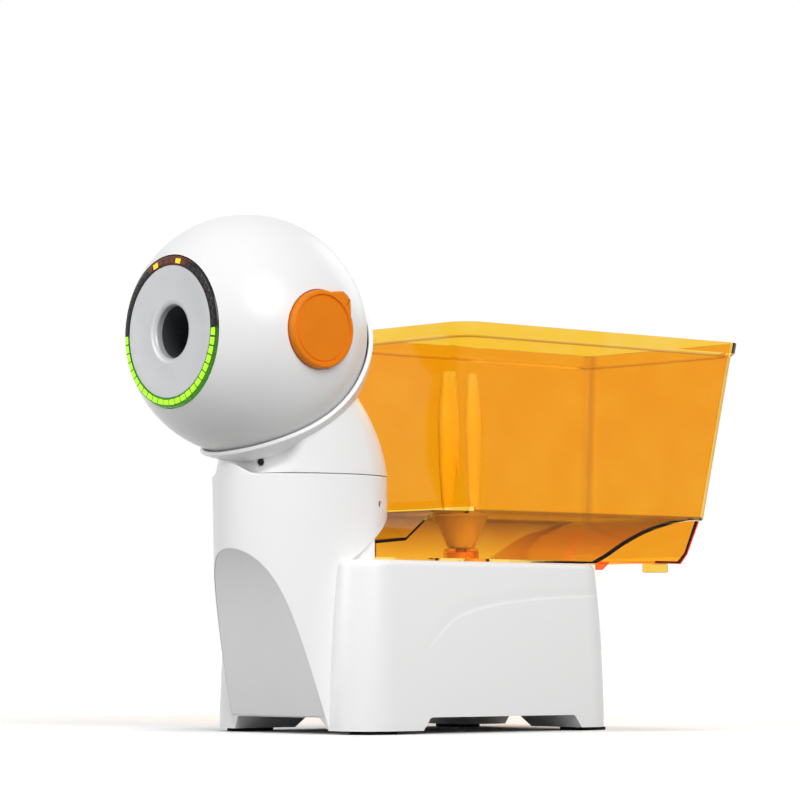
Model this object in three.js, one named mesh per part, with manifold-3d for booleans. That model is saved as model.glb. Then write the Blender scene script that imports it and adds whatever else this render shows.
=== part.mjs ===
// A table tennis robot: a wheeled ball thrower in a round head, on a column, with a ball hopper behind.
// Lengths are millimetres and angles radians. X points to the robot's left, Y to its back and Z up.
// Every piece is drawn round the pan axis, X = Y = 0, and the last lines centre the whole robot.
import * as THREE from "three";
import { mergeVertices } from "three/addons/utils/BufferGeometryUtils.js";
import Module from "manifold-3d";

const wasm = await Module();
wasm.setup();

const DEGREE = Math.PI / 180;
const GAP = {
  seat: 0.3, // between two pieces that are seated on each other
  running: 0.7, // round a piece that turns
  overrun: 3, // how far a cutting tool passes the face that it cuts
  weld: 0.6, // how deep one form is sunk into another form of the same piece
  merge: 0.0005, // corners closer than this are one corner
};
const FACETS = { large: 40, middle: 24, small: 12, hex: 6, corner: 4, curve: 8 };

const TOOTH = { dedendum: 1.2, addendum: 0.9, rootShare: 0.7, tipShare: 0.3 };

const PAD = { height: 2.6, width: 30, length: 34, corner: 7, inset: 9 };

const BOX = {
  front: 20, // how far the front wall stands ahead of the pan axis, at the floor
  back: 273,
  halfWidth: 105,
  corner: 34,
  top: 143.5,
  taper: 6.4, // how far each wall has come in at the top
  edgeRound: 6,
  wall: 3,
  archHeight: 13.7,
  frontArch: 64.5, // half widths and ends of the arches, where they meet the floor
  backArch: 44,
  sideArchFront: 44,
  sideArchBack: 229,
  archSlope: 10.5,
  panelDepth: 0.8,
};

const COLUMN = {
  halfDepth: 78,
  halfWidth: 66.5,
  top: 214,
  wall: 3,
  frontTaper: 7, // how far the front has come back at the floor
  lipRise: 10,
  lipAngle: 27 * DEGREE,
  rampStart: { y: 1, z: 143.2 }, // the undercut at the back, over the hopper's nose
  rampRise: 0.635,
  heelHalfWidth: 60, // the upright heel that stands under the undercut, ahead of the hopper's nose
  scoopWall: 5,
  screwHole: { radius: 3.2, depth: 3, drop: 23.3, angle: 34.8 * DEGREE },
};

// The concave front of the column, from its upper edge down to the floor, ahead of the pan axis.
const SCOOP = {
  top: { ahead: 80, z: 157.5 },
  upper: { ahead: 52, z: 130 },
  lower: { ahead: 44.5, z: 78 },
  foot: { ahead: 18, z: -2 },
  panel: 2.4, // thickness of the grey cover let into it
  margin: 2.4,
};

const PAN = {
  ringTeeth: 48,
  pinionTeeth: 12,
  module: 1.6,
  backlash: 0.35,
  // Depths under the column's top.
  gearBottom: 16,
  gearTop: 8.5,
  spigot: { outer: 30, inner: 26, bottom: 17.5 },
  bearing: { inner: 30.35, outer: 33.7, bottom: 6, flange: 36.5, flangeHeight: 2.2 },
  motor: { radius: 12, bottom: 54, top: 20, shaft: 2 },
  bracket: { thickness: 2, halfWidth: 22, near: 30, far: 59, post: 3.2 },
};
const underTop = (depth) => COLUMN.top - depth;

const NECK = {
  rise: 73, // height of its loft over the column's top
  wall: 3,
  facets: 48,
  // For each ring: its height as a share of the rise, then its front and its back as shares of the column's
  // half depth, then the turns from the front, in degrees, where the recess reaches its core and its crease.
  ringShares: [
    [0.0055, 1, 1, 6, 52],
    [0.0685, 0.9974, 0.9897, 16, 53.5],
    [0.137, 0.9949, 0.9744, 31, 55],
    [0.2466, 0.991, 0.9423, 39, 57.5],
    [0.3836, 0.9859, 0.8872, 42, 60],
    [0.5616, 0.9795, 0.7897, 44, 62],
    [0.7534, 0.9718, 0.6538, 45, 63],
    [1, 0.9628, 0.4282, 46, 64],
  ],
  recess: { depth: 17, width: 11.5 }, // how far the recess in front goes in to its upright elliptical core
  screw: { radius: 3.4, depth: 4, rise: 10.5, angle: 17 * DEGREE },
};
const neckLow = () => COLUMN.top + NECK.ringShares[0][0] * NECK.rise;

const HEAD = {
  ahead: 58, // the tilt axis, ahead of the pan axis
  rise: 115, // the tilt axis, over the column's top
  ballRise: 1.5, // how far the ball's centre lies over the tilt axis
  radius: 100.5,
  wall: 2.6,
  openingRadius: 63.2,
  slot: { halfWidth: 27.5, from: 18 * DEGREE, to: 84 * DEGREE },
  pivotBore: 5.6,
};
const headHeight = () => COLUMN.top + HEAD.rise;

// The cup that the head sits in. Its rim is a saddle round an axis that points back and down.
const CUP = {
  axis: 48 * DEGREE,
  inner: 102,
  outer: 105.8,
  lipRound: 1.2,
  lipShares: [0.25, 0.75],
  rim: 54.4 * DEGREE,
  rimTilt: -4.8 * DEGREE,
  rimSaddle: 8.4 * DEGREE,
  tubeHole: 27.5,
  rings: { outer: 7, inner: 6 },
};

const YOKE = {
  inner: 80,
  outer: 86,
  width: 16,
  angle: 56 * DEGREE,
  boss: 11,
  tubeInner: 21.5,
  tubeOuter: 24,
  foot: { radius: 34, thickness: 2.6 },
  // The feed tube's centre line: its ends over the column's top, its reach ahead of the pan axis, and
  // shares of the reach and of the way up.
  tubeLow: 3.8,
  tubeHigh: 70,
  tubeReach: 25,
  tubeShares: [
    [0, 0],
    [0, 0.275],
    [0.16, 0.577],
    [0.56, 0.819],
    [1, 1],
  ],
};

const KNOB = {
  radius: 32,
  pocket: 33,
  floor: 93, // distance of the pocket's floor from the head's middle
  bossInner: 88.5,
  bossRadius: 36,
  face: 101.6,
  tabFloor: 95.6,
  tabReach: 39,
  tabAngle: 49 * DEGREE,
  tabHalfAngle: 26 * DEGREE,
  grooveRadius: 28.6,
  grooveWidth: 0.9,
  grooveDepth: 1,
  studRadius: 5,
  tabShares: [-0.34, 0, 0.34],
  tabDrop: 1, // how far the tab's corners lie back of its middle
  crown: 2.15, // how far the pivot cap's rim lies back of its middle
  crownShares: [0.8, 0.333],
  studBack: 79.5,
  studHead: 98.5,
};

const FACE = {
  ringOuter: 62.8,
  ringInner: 54.9,
  ringWall: 1.8,
  ringBack: 71.4, // distances ahead of the head's centre
  ringEdge: 77.6,
  ringCrown: 80.4,
  ringFront: 80.9,
  plateFront: 80.5,
  plateRadius: 54.5,
  plateThickness: 2.2,
  plateDish: 79.4,
  lipRadius: 28,
  muzzle: 21.8,
  muzzleWall: 2,
  throat: 75.5,
  chips: 24,
  chip: { depth: 2.4, width: 9, height: 1 },
  board: { inner: 57.8, outer: 60.6, back: 71.8, front: 73.4 },
};

const CHASSIS = {
  plateRadius: 64,
  plateFront: 71,
  plateBack: 68,
  barrelInner: 22,
  barrelOuter: 24.5,
  barrelBack: -12,
  wheelAhead: 28,
  windowHalfLength: 25,
  mount: { near: 12.2, far: 15.2, halfLength: 20, low: 20, high: 66 },
};

const WHEEL = {
  radius: 27,
  halfWidth: 10,
  grip: 18.5, // half the gap between the wheels
  hub: 19,
  web: 3,
  shaft: 2.5,
  collar: 6,
  motorRadius: 17,
  motorFar: 53,
};

const DRIVE = {
  y: 182,
  shaft: 6,
  shaftLow: 104,
  boss: 12,
  bossLow: 134,
  bossHigh: 154,
  hexRadius: 5.4,
  hexHigh: 168,
  gearLow: 119,
  gearHigh: 127,
  gearTeeth: 40,
  pinionTeeth: 12,
  module: 1.6,
  backlash: 0.35,
  plate: { low: 112.5, high: 115.5, front: 140, back: 250, halfWidth: 46, post: 5 },
  motor: { radius: 18, low: 62, shaft: 2.5, shaftHigh: 129 },
};

const FEED = {
  inner: 21.5,
  outer: 24,
  // The ball tube from the hopper's outlet down to its bend and up to the pan bearing. The shares are of the
  // outlet's distance behind the pan axis, and of the height over the bend.
  bend: 58,
  outletDepth: 3.4, // under the base's top
  bearingDepth: 8, // under the column's top
  downShares: [
    [1, 1],
    [1, 0.731],
    [0.864, 0.268],
    [0.508, 0],
  ],
  upShares: [
    [0.153, 0.081],
    [-0.102, 0.257],
    [-0.22, 0.459],
    [-0.263, 0.574],
    [-0.22, 0.669],
    [-0.085, 0.797],
    [-0.0085, 0.905],
    [0, 1],
  ],
  steps: 15,
};

const COVER = { thickness: 2.4, standoff: { radius: 3.5, height: 7.7 } };
const BOARD = {
  front: 196,
  back: 256,
  halfWidth: 42,
  thickness: 1.6,
  chipHeight: 5,
  chipSize: 16,
  plugSize: 9,
};
const SWITCH = {
  x: -46,
  z: 62,
  halfWidth: 7.5,
  halfHeight: 10.5,
  bezel: 2.2,
  bezelOut: 1.6,
  depth: 16,
  wellShare: 0.6, // shares of the depth
  pinShare: 0.3,
  rockerOut: 2.4,
  rockerGap: 1, // room for the rocker's ends to swing
  pin: 1.4,
  seatRadius: 2.5, // how far the rocker's foot reaches past the pin
};
const INLET = {
  x: -14,
  z: 62,
  radius: 5.6,
  flange: 8,
  flangeOut: 1.6,
  depth: 14,
  bore: 3.2,
  boreShare: 0.7, // shares of the depth
  tipShare: 0.8,
  tip: 1.07,
};

const BIN = {
  rim: { z: 345.7, front: 95.7, back: 438, halfWidth: 100 },
  flange: 3.4, // how far the rim stands out of the wall
  flangeHeight: 9.7,
  flangeChamfer: 3,
  ledge: { z: 187.5, front: 126, back: 412, halfWidth: 80 },
  frontCorner: 20,
  backCorner: 14,
  wall: 2.6,
};

const HULL = {
  floor: 144,
  halfWidth: 76,
  noseHalfWidth: 60,
  noseFront: 32,
  noseHigh: 160.5,
  noseBack: 66,
  noseBackHigh: 163.5,
  roofFront: 91,
  shoulder: 122,
  back: 397,
  // The rising back of the hull, as shares of the way from the base's back edge to the ledge.
  start: 272,
  riseShares: [
    [0, 0],
    [0.12, 0.15],
    [0.29, 0.4],
    [0.44, 0.585],
    [0.57, 0.715],
    [0.7, 0.81],
    [0.82, 0.89],
    [1, 0.96],
  ],
  miter: 0.5, // how far the nose's inner corners lie behind its outer ones, for each millimetre of wall
  wall: 2.6,
  outlet: { y: 118, radius: 22 },
  cap: { radius: 15.5, top: 157.2, wall: 2, bore: 7 },
};

const SKIRT = {
  halfWidth: 75.5,
  wall: 2.4,
  hook: { front: 274.5, back: 281, z: 138.8 },
  bottom: { front: 290, back: 379, z: 145.6 },
  heel: { y: 387.5, z: 154.4 },
  top: { y: 403 },
  foot: { radius: 11.5, x: 60, y: 362, low: 137.7 },
};

const AGITATOR = {
  low: 158,
  coneLow: 12,
  coneHigh: 25,
  high: 188,
  discHeight: 3,
  socket: 5.9,
  socketHigh: 170,
  post: { offset: 15, top: 312, thin: 0.62 },
  postHalfWidths: [5.2, 8, 9.5, 6, 3.6],
  postHeightShares: [0, 0.16, 0.62, 0.96, 1],
};

const COLOUR = {
  white: { color: 0xf4f4f2, roughness: 0.3, metalness: 0 },
  grey: { color: 0xc9cbcc, roughness: 0.5, metalness: 0 },
  silver: { color: 0xc8cacd, roughness: 0.38, metalness: 0.15 },
  smoked: { color: 0x2a201a, roughness: 0.12, metalness: 0 },
  orange: { color: 0xea8c28, roughness: 0.45, metalness: 0 },
  clearOrange: { color: 0xf09619, roughness: 0.08, metalness: 0 },
  black: { color: 0x1c1c1d, roughness: 0.7, metalness: 0 },
  rubber: { color: 0x111112, roughness: 0.85, metalness: 0 },
  darkGrey: { color: 0x4a4d50, roughness: 0.5, metalness: 0 },
  steel: { color: 0xa9adb1, roughness: 0.35, metalness: 0.9 },
  board: { color: 0x1f6b3a, roughness: 0.55, metalness: 0 },
  nylon: { color: 0xe4e0d4, roughness: 0.55, metalness: 0 },
};

// A closed three.js geometry as a solid with its faces out.
function solidOf(geometry) {
  const bare = geometry.index ? geometry.toNonIndexed() : geometry.clone();
  for (const name of Object.keys(bare.attributes)) if (name !== "position") bare.deleteAttribute(name);
  const merged = mergeVertices(bare, GAP.merge);
  const corners = merged.index.array;
  const triangles = [];
  for (let i = 0; i < corners.length; i += 3) {
    const [a, b, c] = [corners[i], corners[i + 1], corners[i + 2]];
    if (a !== b && b !== c && a !== c) triangles.push(a, b, c);
  }
  const build = (triVerts) =>
    new wasm.Manifold(
      new wasm.Mesh({ numProp: 3, vertProperties: merged.attributes.position.array, triVerts }),
    );
  const made = build(new Uint32Array(triangles));
  return made.volume() > 0 ? made : build(new Uint32Array(triangles.reverse()));
}

function geometryOf(solid) {
  const mesh = solid.getMesh();
  const geometry = new THREE.BufferGeometry();
  geometry.setAttribute("position", new THREE.BufferAttribute(new Float32Array(mesh.vertProperties), 3));
  geometry.setIndex(new THREE.BufferAttribute(new Uint32Array(mesh.triVerts), 1));
  geometry.computeVertexNormals();
  return geometry;
}

const join = (first, ...rest) => rest.reduce((made, next) => made.add(next), first);
const cut = (first, ...rest) => rest.reduce((made, next) => made.subtract(next), first);

// The turn that lays a form drawn along Z along another axis, with its drawing plane kept right-handed.
const LAID = {
  x: new THREE.Matrix4().makeBasis(
    new THREE.Vector3(0, 1, 0),
    new THREE.Vector3(0, 0, 1),
    new THREE.Vector3(1, 0, 0),
  ),
  y: new THREE.Matrix4().makeBasis(
    new THREE.Vector3(0, 0, 1),
    new THREE.Vector3(1, 0, 0),
    new THREE.Vector3(0, 1, 0),
  ),
  z: new THREE.Matrix4(),
};

function block(low, high) {
  const size = high.map((value, i) => value - low[i]);
  const middle = high.map((value, i) => (value + low[i]) / 2);
  return solidOf(new THREE.BoxGeometry(...size).translate(...middle));
}

// A cylinder or cone along an axis, from one place on it to another, with its middle at (u, v) of the
// other two axes: (y, z) for x, (z, x) for y and (x, y) for z.
function rod(axis, radius, from, to, [u, v] = [0, 0], facets = FACETS.middle, endRadius = radius) {
  const geometry = new THREE.CylinderGeometry(endRadius, radius, to - from, facets)
    .rotateX(Math.PI / 2)
    .translate(u, v, (from + to) / 2);
  return solidOf(geometry.applyMatrix4(LAID[axis]));
}

// A closed profile of [radius, height] pairs turned round an axis through the origin.
function turned(axis, profile, facets = FACETS.large) {
  const points = [...profile, profile[0]].map(([radius, height]) => new THREE.Vector2(radius, height));
  const geometry = new THREE.LatheGeometry(points, facets).rotateX(Math.PI / 2);
  return solidOf(geometry.applyMatrix4(LAID[axis]));
}

// A straight extrusion of an outline, with the same order of coordinates as a rod's middle.
function prism(axis, outline, from, to) {
  const shape = new THREE.Shape(outline.map(([u, v]) => new THREE.Vector2(u, v)));
  const geometry = new THREE.ExtrudeGeometry(shape, { depth: to - from, bevelEnabled: false });
  return solidOf(geometry.translate(0, 0, from).applyMatrix4(LAID[axis]));
}

// A closed skin over rings of the same number of points, with a flat cap at each end.
function loft(rings) {
  const count = rings[0].length;
  const corners = [];
  const face = (a, b, c) => corners.push(...a.toArray(), ...b.toArray(), ...c.toArray());
  for (let i = 0; i + 1 < rings.length; i++)
    for (let j = 0; j < count; j++) {
      const k = (j + 1) % count;
      face(rings[i][j], rings[i][k], rings[i + 1][k]);
      face(rings[i][j], rings[i + 1][k], rings[i + 1][j]);
    }
  const last = rings[rings.length - 1];
  for (let j = 1; j + 1 < count; j++) {
    face(rings[0][0], rings[0][j + 1], rings[0][j]);
    face(last[0], last[j], last[j + 1]);
  }
  const geometry = new THREE.BufferGeometry();
  geometry.setAttribute("position", new THREE.Float32BufferAttribute(corners, 3));
  return solidOf(geometry);
}

function roundedRing({ low, high, lowCorner, highCorner, halfWidth, z }) {
  const ring = [];
  const corners = [
    { x: halfWidth, y: high, radius: highCorner, start: 0 },
    { x: -halfWidth, y: high, radius: highCorner, start: 1 },
    { x: -halfWidth, y: low, radius: lowCorner, start: 2 },
    { x: halfWidth, y: low, radius: lowCorner, start: 3 },
  ];
  for (const { x, y, radius, start } of corners)
    for (let i = 0; i <= FACETS.corner; i++) {
      const angle = ((start + i / FACETS.corner) * Math.PI) / 2;
      const centreX = x - Math.sign(x) * radius;
      const centreY = y + (y === high ? -radius : radius);
      ring.push(new THREE.Vector3(centreX + radius * Math.cos(angle), centreY + radius * Math.sin(angle), z));
    }
  return ring;
}

function ellipseRing({ halfWidth, front, back, z }, facets = FACETS.large) {
  const ring = [];
  for (let i = 0; i < facets; i++) {
    const angle = (2 * Math.PI * i) / facets;
    const y = (back - front) / 2 + ((back + front) / 2) * Math.sin(angle);
    ring.push(new THREE.Vector3(halfWidth * Math.cos(angle), y, z));
  }
  return ring;
}

// A round tube, or a rod where inner is 0, along a smooth line through the points.
function pipe(points, inner, outer, steps, facets = FACETS.small) {
  const circle = (radius, path) => path.absarc(0, 0, radius, 0, 2 * Math.PI, false);
  const shape = circle(outer, new THREE.Shape());
  if (inner > 0) shape.holes.push(circle(inner, new THREE.Path()));
  const extrudePath = new THREE.CatmullRomCurve3(points);
  return solidOf(new THREE.ExtrudeGeometry(shape, { steps, curveSegments: facets / 2, extrudePath }));
}

const onPanPlane = (y, z) => new THREE.Vector3(0, y, z);

// A spur gear along Z with straight-sided teeth, thinned by the backlash.
function gear({ teeth, module, bore, low, high, backlash }, middle, turn = 0) {
  const pitch = (teeth * module) / 2;
  const toothAngle = Math.PI / teeth;
  const root = [pitch - TOOTH.dedendum * module, TOOTH.rootShare];
  const tip = [pitch + TOOTH.addendum * module, TOOTH.tipShare];
  const flanks = [
    [-1, root],
    [-1, tip],
    [1, tip],
    [1, root],
  ];
  const outline = [];
  for (let tooth = 0; tooth < teeth; tooth++) {
    for (const [side, [radius, share]] of flanks) {
      const angle = turn + 2 * tooth * toothAngle + side * (share * toothAngle - backlash / radius / 2);
      outline.push(new THREE.Vector2(radius * Math.cos(angle), radius * Math.sin(angle)));
    }
  }
  const shape = new THREE.Shape(outline);
  shape.holes.push(new THREE.Path().absarc(0, 0, bore, 0, 2 * Math.PI, false));
  const options = { depth: high - low, bevelEnabled: false, curveSegments: FACETS.middle / 2 };
  return solidOf(new THREE.ExtrudeGeometry(shape, options).translate(middle[0], middle[1], low));
}

// Base: the rings of the box's outer skin, moved in by an inset, between two heights.
function boxRings(inset, low, high) {
  const shoulder = BOX.top - BOX.edgeRound;
  const heights = [0, 0.35, 0.6, 0.8, 1].map((share) => low + share * (shoulder - low));
  const sizes = heights.map((z) => ({ z, grown: inset + BOX.taper * (z / shoulder) ** 2 }));
  for (const share of [1 / 3, 2 / 3, 1]) {
    const angle = (share * Math.PI) / 2;
    const z = shoulder + BOX.edgeRound * Math.sin(angle);
    sizes.push({ z, grown: inset + BOX.taper + BOX.edgeRound * (1 - Math.cos(angle)) });
  }
  return sizes.map(({ z, grown }) =>
    roundedRing({
      low: -BOX.front + grown,
      high: BOX.back - grown,
      lowCorner: BOX.corner - grown / 2,
      highCorner: BOX.corner - grown / 2,
      halfWidth: BOX.halfWidth - grown,
      z: Math.min(z, high),
    }),
  );
}

// How far the column's front stands ahead of the pan axis at a height.
const columnFront = (z) => COLUMN.halfDepth - COLUMN.frontTaper * (1 - z / COLUMN.top);

function columnLoft(inset, low, high) {
  const ringAt = (z) =>
    ellipseRing({
      halfWidth: COLUMN.halfWidth - inset,
      front: columnFront(z) - inset,
      back: COLUMN.halfDepth - inset,
      z,
    });
  return loft([ringAt(low), ringAt(high)]);
}

// The scoop's line as [y, z] points, moved back into the column by a depth.
function scoopLine(depth) {
  const knots = [SCOOP.top, SCOOP.upper, SCOOP.lower, SCOOP.foot];
  const curve = new THREE.CubicBezierCurve(...knots.map(({ ahead, z }) => new THREE.Vector2(-ahead, z)));
  return curve.getPoints(FACETS.curve).map((point) => [point.x + depth, point.y]);
}

// Everything ahead of the scoop's line.
function scoopTool(depth) {
  const line = scoopLine(depth);
  const ahead = -(COLUMN.halfDepth + COLUMN.halfWidth);
  const outline = [...line, [ahead, SCOOP.foot.z], [ahead, line[0][1]]];
  return prism("x", outline, -BOX.halfWidth, BOX.halfWidth);
}

const rampHeight = (y) => COLUMN.rampStart.z + COLUMN.rampRise * (y - COLUMN.rampStart.y);

// Everything under the undercut at the column's back, except the heel.
function undercutTool() {
  const { rampStart, halfDepth, heelHalfWidth, top } = COLUMN;
  const far = halfDepth + GAP.overrun;
  const outline = [
    [rampStart.y, 0],
    [far, 0],
    [far, rampHeight(far)],
    [rampStart.y, rampStart.z],
  ];
  const heelBack = HULL.noseFront - GAP.running;
  const heel = block([-heelHalfWidth, 0, 0], [heelHalfWidth, heelBack, top]);
  return cut(prism("x", outline, -BOX.halfWidth, BOX.halfWidth), heel);
}

// The raised edge of the column that covers the front of the neck's seam.
function columnLip() {
  const steps = FACETS.curve;
  const rings = [];
  for (let i = 0; i <= steps; i++) {
    const turn = COLUMN.lipAngle * ((2 * i) / steps - 1);
    const rise = (COLUMN.lipRise * (1 + Math.cos((Math.PI * turn) / COLUMN.lipAngle))) / 2;
    const point = (inset, z) => {
      const x = (COLUMN.halfWidth - inset) * Math.sin(turn);
      return new THREE.Vector3(x, -(COLUMN.halfDepth - inset) * Math.cos(turn), z);
    };
    const low = COLUMN.top - COLUMN.wall / 2;
    const high = COLUMN.top + rise;
    rings.push([point(0, low), point(COLUMN.wall, low), point(COLUMN.wall, high), point(0, high)]);
  }
  return loft(rings);
}

function archTools() {
  const { archHeight, archSlope, frontArch, backArch, sideArchFront, sideArchBack } = BOX;
  const trapezium = (low, high) => [
    [low, 0],
    [high, 0],
    [high - archSlope, archHeight],
    [low + archSlope, archHeight],
  ];
  const across = trapezium(sideArchFront, sideArchBack);
  const swapped = (half) => trapezium(-half, half).map(([x, z]) => [z, x]);
  const middle = (sideArchFront + sideArchBack) / 2;
  return [
    prism("x", across, -BOX.halfWidth - GAP.overrun, BOX.halfWidth + GAP.overrun),
    prism("y", swapped(frontArch), -COLUMN.halfDepth - GAP.overrun, middle),
    prism("y", swapped(backArch), middle, BOX.back + GAP.overrun),
  ];
}

// The shallow field on each side of the box, under an arc that sweeps up from the front.
function sideField() {
  const height = BOX.top;
  const arcShares = [
    [0.11, 0],
    [0.14, 0.27],
    [0.18, 0.455],
    [0.245, 0.58],
    [0.31, 0.67],
    [0.39, 0.72],
    [0.49, 0.757],
    [0.62, 0.784],
    [0.755, 0.8],
    [1.02, 0.812],
  ];
  const arc = arcShares.map(([alongShare, heightShare]) => [alongShare * BOX.back, heightShare * height]);
  const last = arc[arc.length - 1];
  const field = prism("x", [...arc, [last[0], 0]], -BOX.halfWidth, BOX.halfWidth);
  const skin = cut(loft(boxRings(0, PAD.height, BOX.top)), loft(boxRings(BOX.panelDepth, 0, BOX.top)));
  const sides = join(
    block([BOX.halfWidth / 2, 0, 0], [BOX.halfWidth, BOX.back, height]),
    block([-BOX.halfWidth, 0, 0], [-BOX.halfWidth / 2, BOX.back, height]),
  );
  const behindCorner = BOX.back - BOX.corner / 2;
  const reach = block([-BOX.halfWidth, 0, 0], [BOX.halfWidth, behindCorner, height]);
  return skin.intersect(field).intersect(sides).intersect(reach);
}

function baseShell() {
  const low = PAD.height + GAP.seat;
  const boxOuter = loft(boxRings(0, low, BOX.top));
  const column = cut(columnLoft(0, low, COLUMN.top), scoopTool(0), undercutTool());
  const outer = join(boxOuter, column, columnLip());
  const boxInner = loft(boxRings(BOX.wall, BOX.archHeight, BOX.top)).intersect(
    block(
      [-BOX.halfWidth, -BOX.front, BOX.archHeight],
      [BOX.halfWidth, BOX.back, BOX.top - BOX.wall],
    ),
  );
  const innerLine = scoopLine(COLUMN.scoopWall);
  const back = COLUMN.rampStart.y - COLUMN.wall;
  const rampWall = COLUMN.wall * Math.hypot(1, COLUMN.rampRise);
  const rampEnd = rampHeight(COLUMN.halfDepth) + rampWall;
  const roof = Math.max(COLUMN.top, rampEnd + GAP.overrun);
  const innerSide = prism(
    "x",
    [
      ...innerLine.filter(([, z]) => z > BOX.archHeight),
      [back, BOX.archHeight],
      [back, COLUMN.rampStart.z + rampWall],
      [COLUMN.halfDepth, rampEnd],
      [COLUMN.halfDepth, roof],
      [innerLine[0][0], roof],
    ],
    -COLUMN.halfWidth,
    COLUMN.halfWidth,
  );
  const columnInner = columnLoft(COLUMN.wall, BOX.archHeight, COLUMN.top - COLUMN.wall).intersect(innerSide);
  const panelPocket = cut(scoopTool(SCOOP.panel + GAP.seat), scoopTool(-COLUMN.wall)).intersect(
    columnLoft(SCOOP.margin, BOX.archHeight + SCOOP.margin, SCOOP.top.z - SCOOP.margin),
  );
  const screw = COLUMN.screwHole;
  const screwTool = rod("x", screw.radius, 0, COLUMN.halfDepth, [0, underTop(screw.drop)], FACETS.small)
    .rotate([0, 0, screw.angle / DEGREE])
    .subtract(columnLoft(screw.depth, 0, COLUMN.top));
  return cut(
    outer,
    boxInner,
    columnInner,
    panelPocket,
    sideField(),
    ...archTools(),
    screwTool,
    rod("z", PAN.bearing.outer + GAP.seat, COLUMN.top - COLUMN.wall * 2, COLUMN.top + COLUMN.wall),
    rod("z", DRIVE.boss + GAP.running, BOX.top - BOX.wall * 2, BOX.top + BOX.wall, [0, DRIVE.y]),
    rod("z", HULL.outlet.radius, BOX.top - BOX.wall * 2, BOX.top + BOX.wall, [0, HULL.outlet.y]),
    switchHole(),
    inletHole(),
  );
}

// The back wall's outer face at a height, away from its corners.
const backWall = (z) => BOX.back - BOX.taper * (z / (BOX.top - BOX.edgeRound)) ** 2;

// The face on which a fitting's flange is seated, clear of the wall's lean below it.
const rearSeat = ({ z }, halfHeight) => backWall(z - halfHeight) + GAP.seat;

function switchHole() {
  const { x, z, halfWidth, halfHeight } = SWITCH;
  const half = [halfWidth + GAP.seat, halfHeight + GAP.seat];
  return block(
    [x - half[0], backWall(z) - BOX.wall * 2, z - half[1]],
    [x + half[0], BOX.back + GAP.overrun, z + half[1]],
  );
}

function inletHole() {
  const { x, z, radius } = INLET;
  const ends = [backWall(z) - BOX.wall * 2, BOX.back + GAP.overrun];
  return rod("y", radius + GAP.seat, ...ends, [z, x], FACETS.small);
}

function frontPanel() {
  const margin = SCOOP.margin + GAP.seat;
  const sheet = cut(scoopTool(SCOOP.panel), scoopTool(0));
  return sheet.intersect(columnLoft(margin, BOX.archHeight + margin, SCOOP.top.z - margin));
}

function bottomCover() {
  const inset = BOX.wall + GAP.seat;
  const low = BOX.archHeight + GAP.seat;
  const plate = loft(boxRings(inset, low, BOX.top)).intersect(
    block([-BOX.halfWidth, -BOX.front, low], [BOX.halfWidth, BOX.back, low + COVER.thickness]),
  );
  const { radius, height } = COVER.standoff;
  const posts = boardCorners().map(([x, y]) =>
    rod("z", radius, low + GAP.weld, low + COVER.thickness + height, [x, y], FACETS.small),
  );
  return join(plate, ...posts);
}

function boardCorners() {
  const inset = COVER.standoff.radius;
  const xs = [-BOARD.halfWidth + inset, BOARD.halfWidth - inset];
  const ys = [BOARD.front + inset, BOARD.back - inset];
  return xs.flatMap((x) => ys.map((y) => [x, y]));
}

const boardLow = () => BOX.archHeight + GAP.seat * 2 + COVER.thickness + COVER.standoff.height;

function controlBoard() {
  const low = boardLow();
  const top = low + BOARD.thickness;
  const { halfWidth, front, back, chipSize, chipHeight, plugSize } = BOARD;
  const plate = block([-halfWidth, front, low], [halfWidth, back, top]);
  const middle = (front + back) / 2;
  const chip = block(
    [-chipSize / 2, middle - chipSize / 2, low + GAP.weld],
    [chipSize / 2, middle + chipSize / 2, top + chipHeight],
  );
  const plugs = [-1, 0, 1].map((place) => {
    const x = place * (halfWidth - plugSize);
    const y = front + plugSize / 2;
    return block([x - plugSize / 2, y, low + GAP.weld], [x + plugSize / 2, y + plugSize, top + plugSize]);
  });
  return join(plate, chip, ...plugs);
}

function rubberFoot() {
  const { width, length, corner, height } = PAD;
  const ring = (z, grown) =>
    roundedRing({
      low: -length / 2 - grown,
      high: length / 2 + grown,
      lowCorner: corner,
      highCorner: corner,
      halfWidth: width / 2 + grown,
      z,
    });
  return loft([ring(0, -height / 4), ring(height / 3, 0), ring(height, 0)]);
}

function footPlaces() {
  const x = BOX.halfWidth - PAD.inset - PAD.width / 2;
  const front = (BOX.sideArchFront - BOX.front) / 2;
  const back = (BOX.sideArchBack + BOX.back) / 2;
  return [
    ["front_left", x, front],
    ["front_right", -x, front],
    ["back_left", x, back],
    ["back_right", -x, back],
  ];
}

function powerSwitchBezel() {
  const { x, z, halfWidth, halfHeight, bezel, bezelOut, depth } = SWITCH;
  const face = rearSeat(SWITCH, halfHeight + bezel);
  const flange = block(
    [x - halfWidth - bezel, face, z - halfHeight - bezel],
    [x + halfWidth + bezel, face + bezelOut, z + halfHeight + bezel],
  );
  const body = block(
    [x - halfWidth, face - depth, z - halfHeight],
    [x + halfWidth, face + GAP.weld, z + halfHeight],
  );
  const wall = bezel / 2;
  const well = block(
    [x - halfWidth + wall, face - depth * SWITCH.wellShare, z - halfHeight + wall],
    [x + halfWidth - wall, face + bezelOut + GAP.overrun, z + halfHeight - wall],
  );
  const pivot = face - depth * SWITCH.pinShare;
  const rib = rod("x", SWITCH.pin, x - halfWidth, x + halfWidth, [pivot, z], FACETS.small);
  return join(cut(join(flange, body), well), rib);
}

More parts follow.
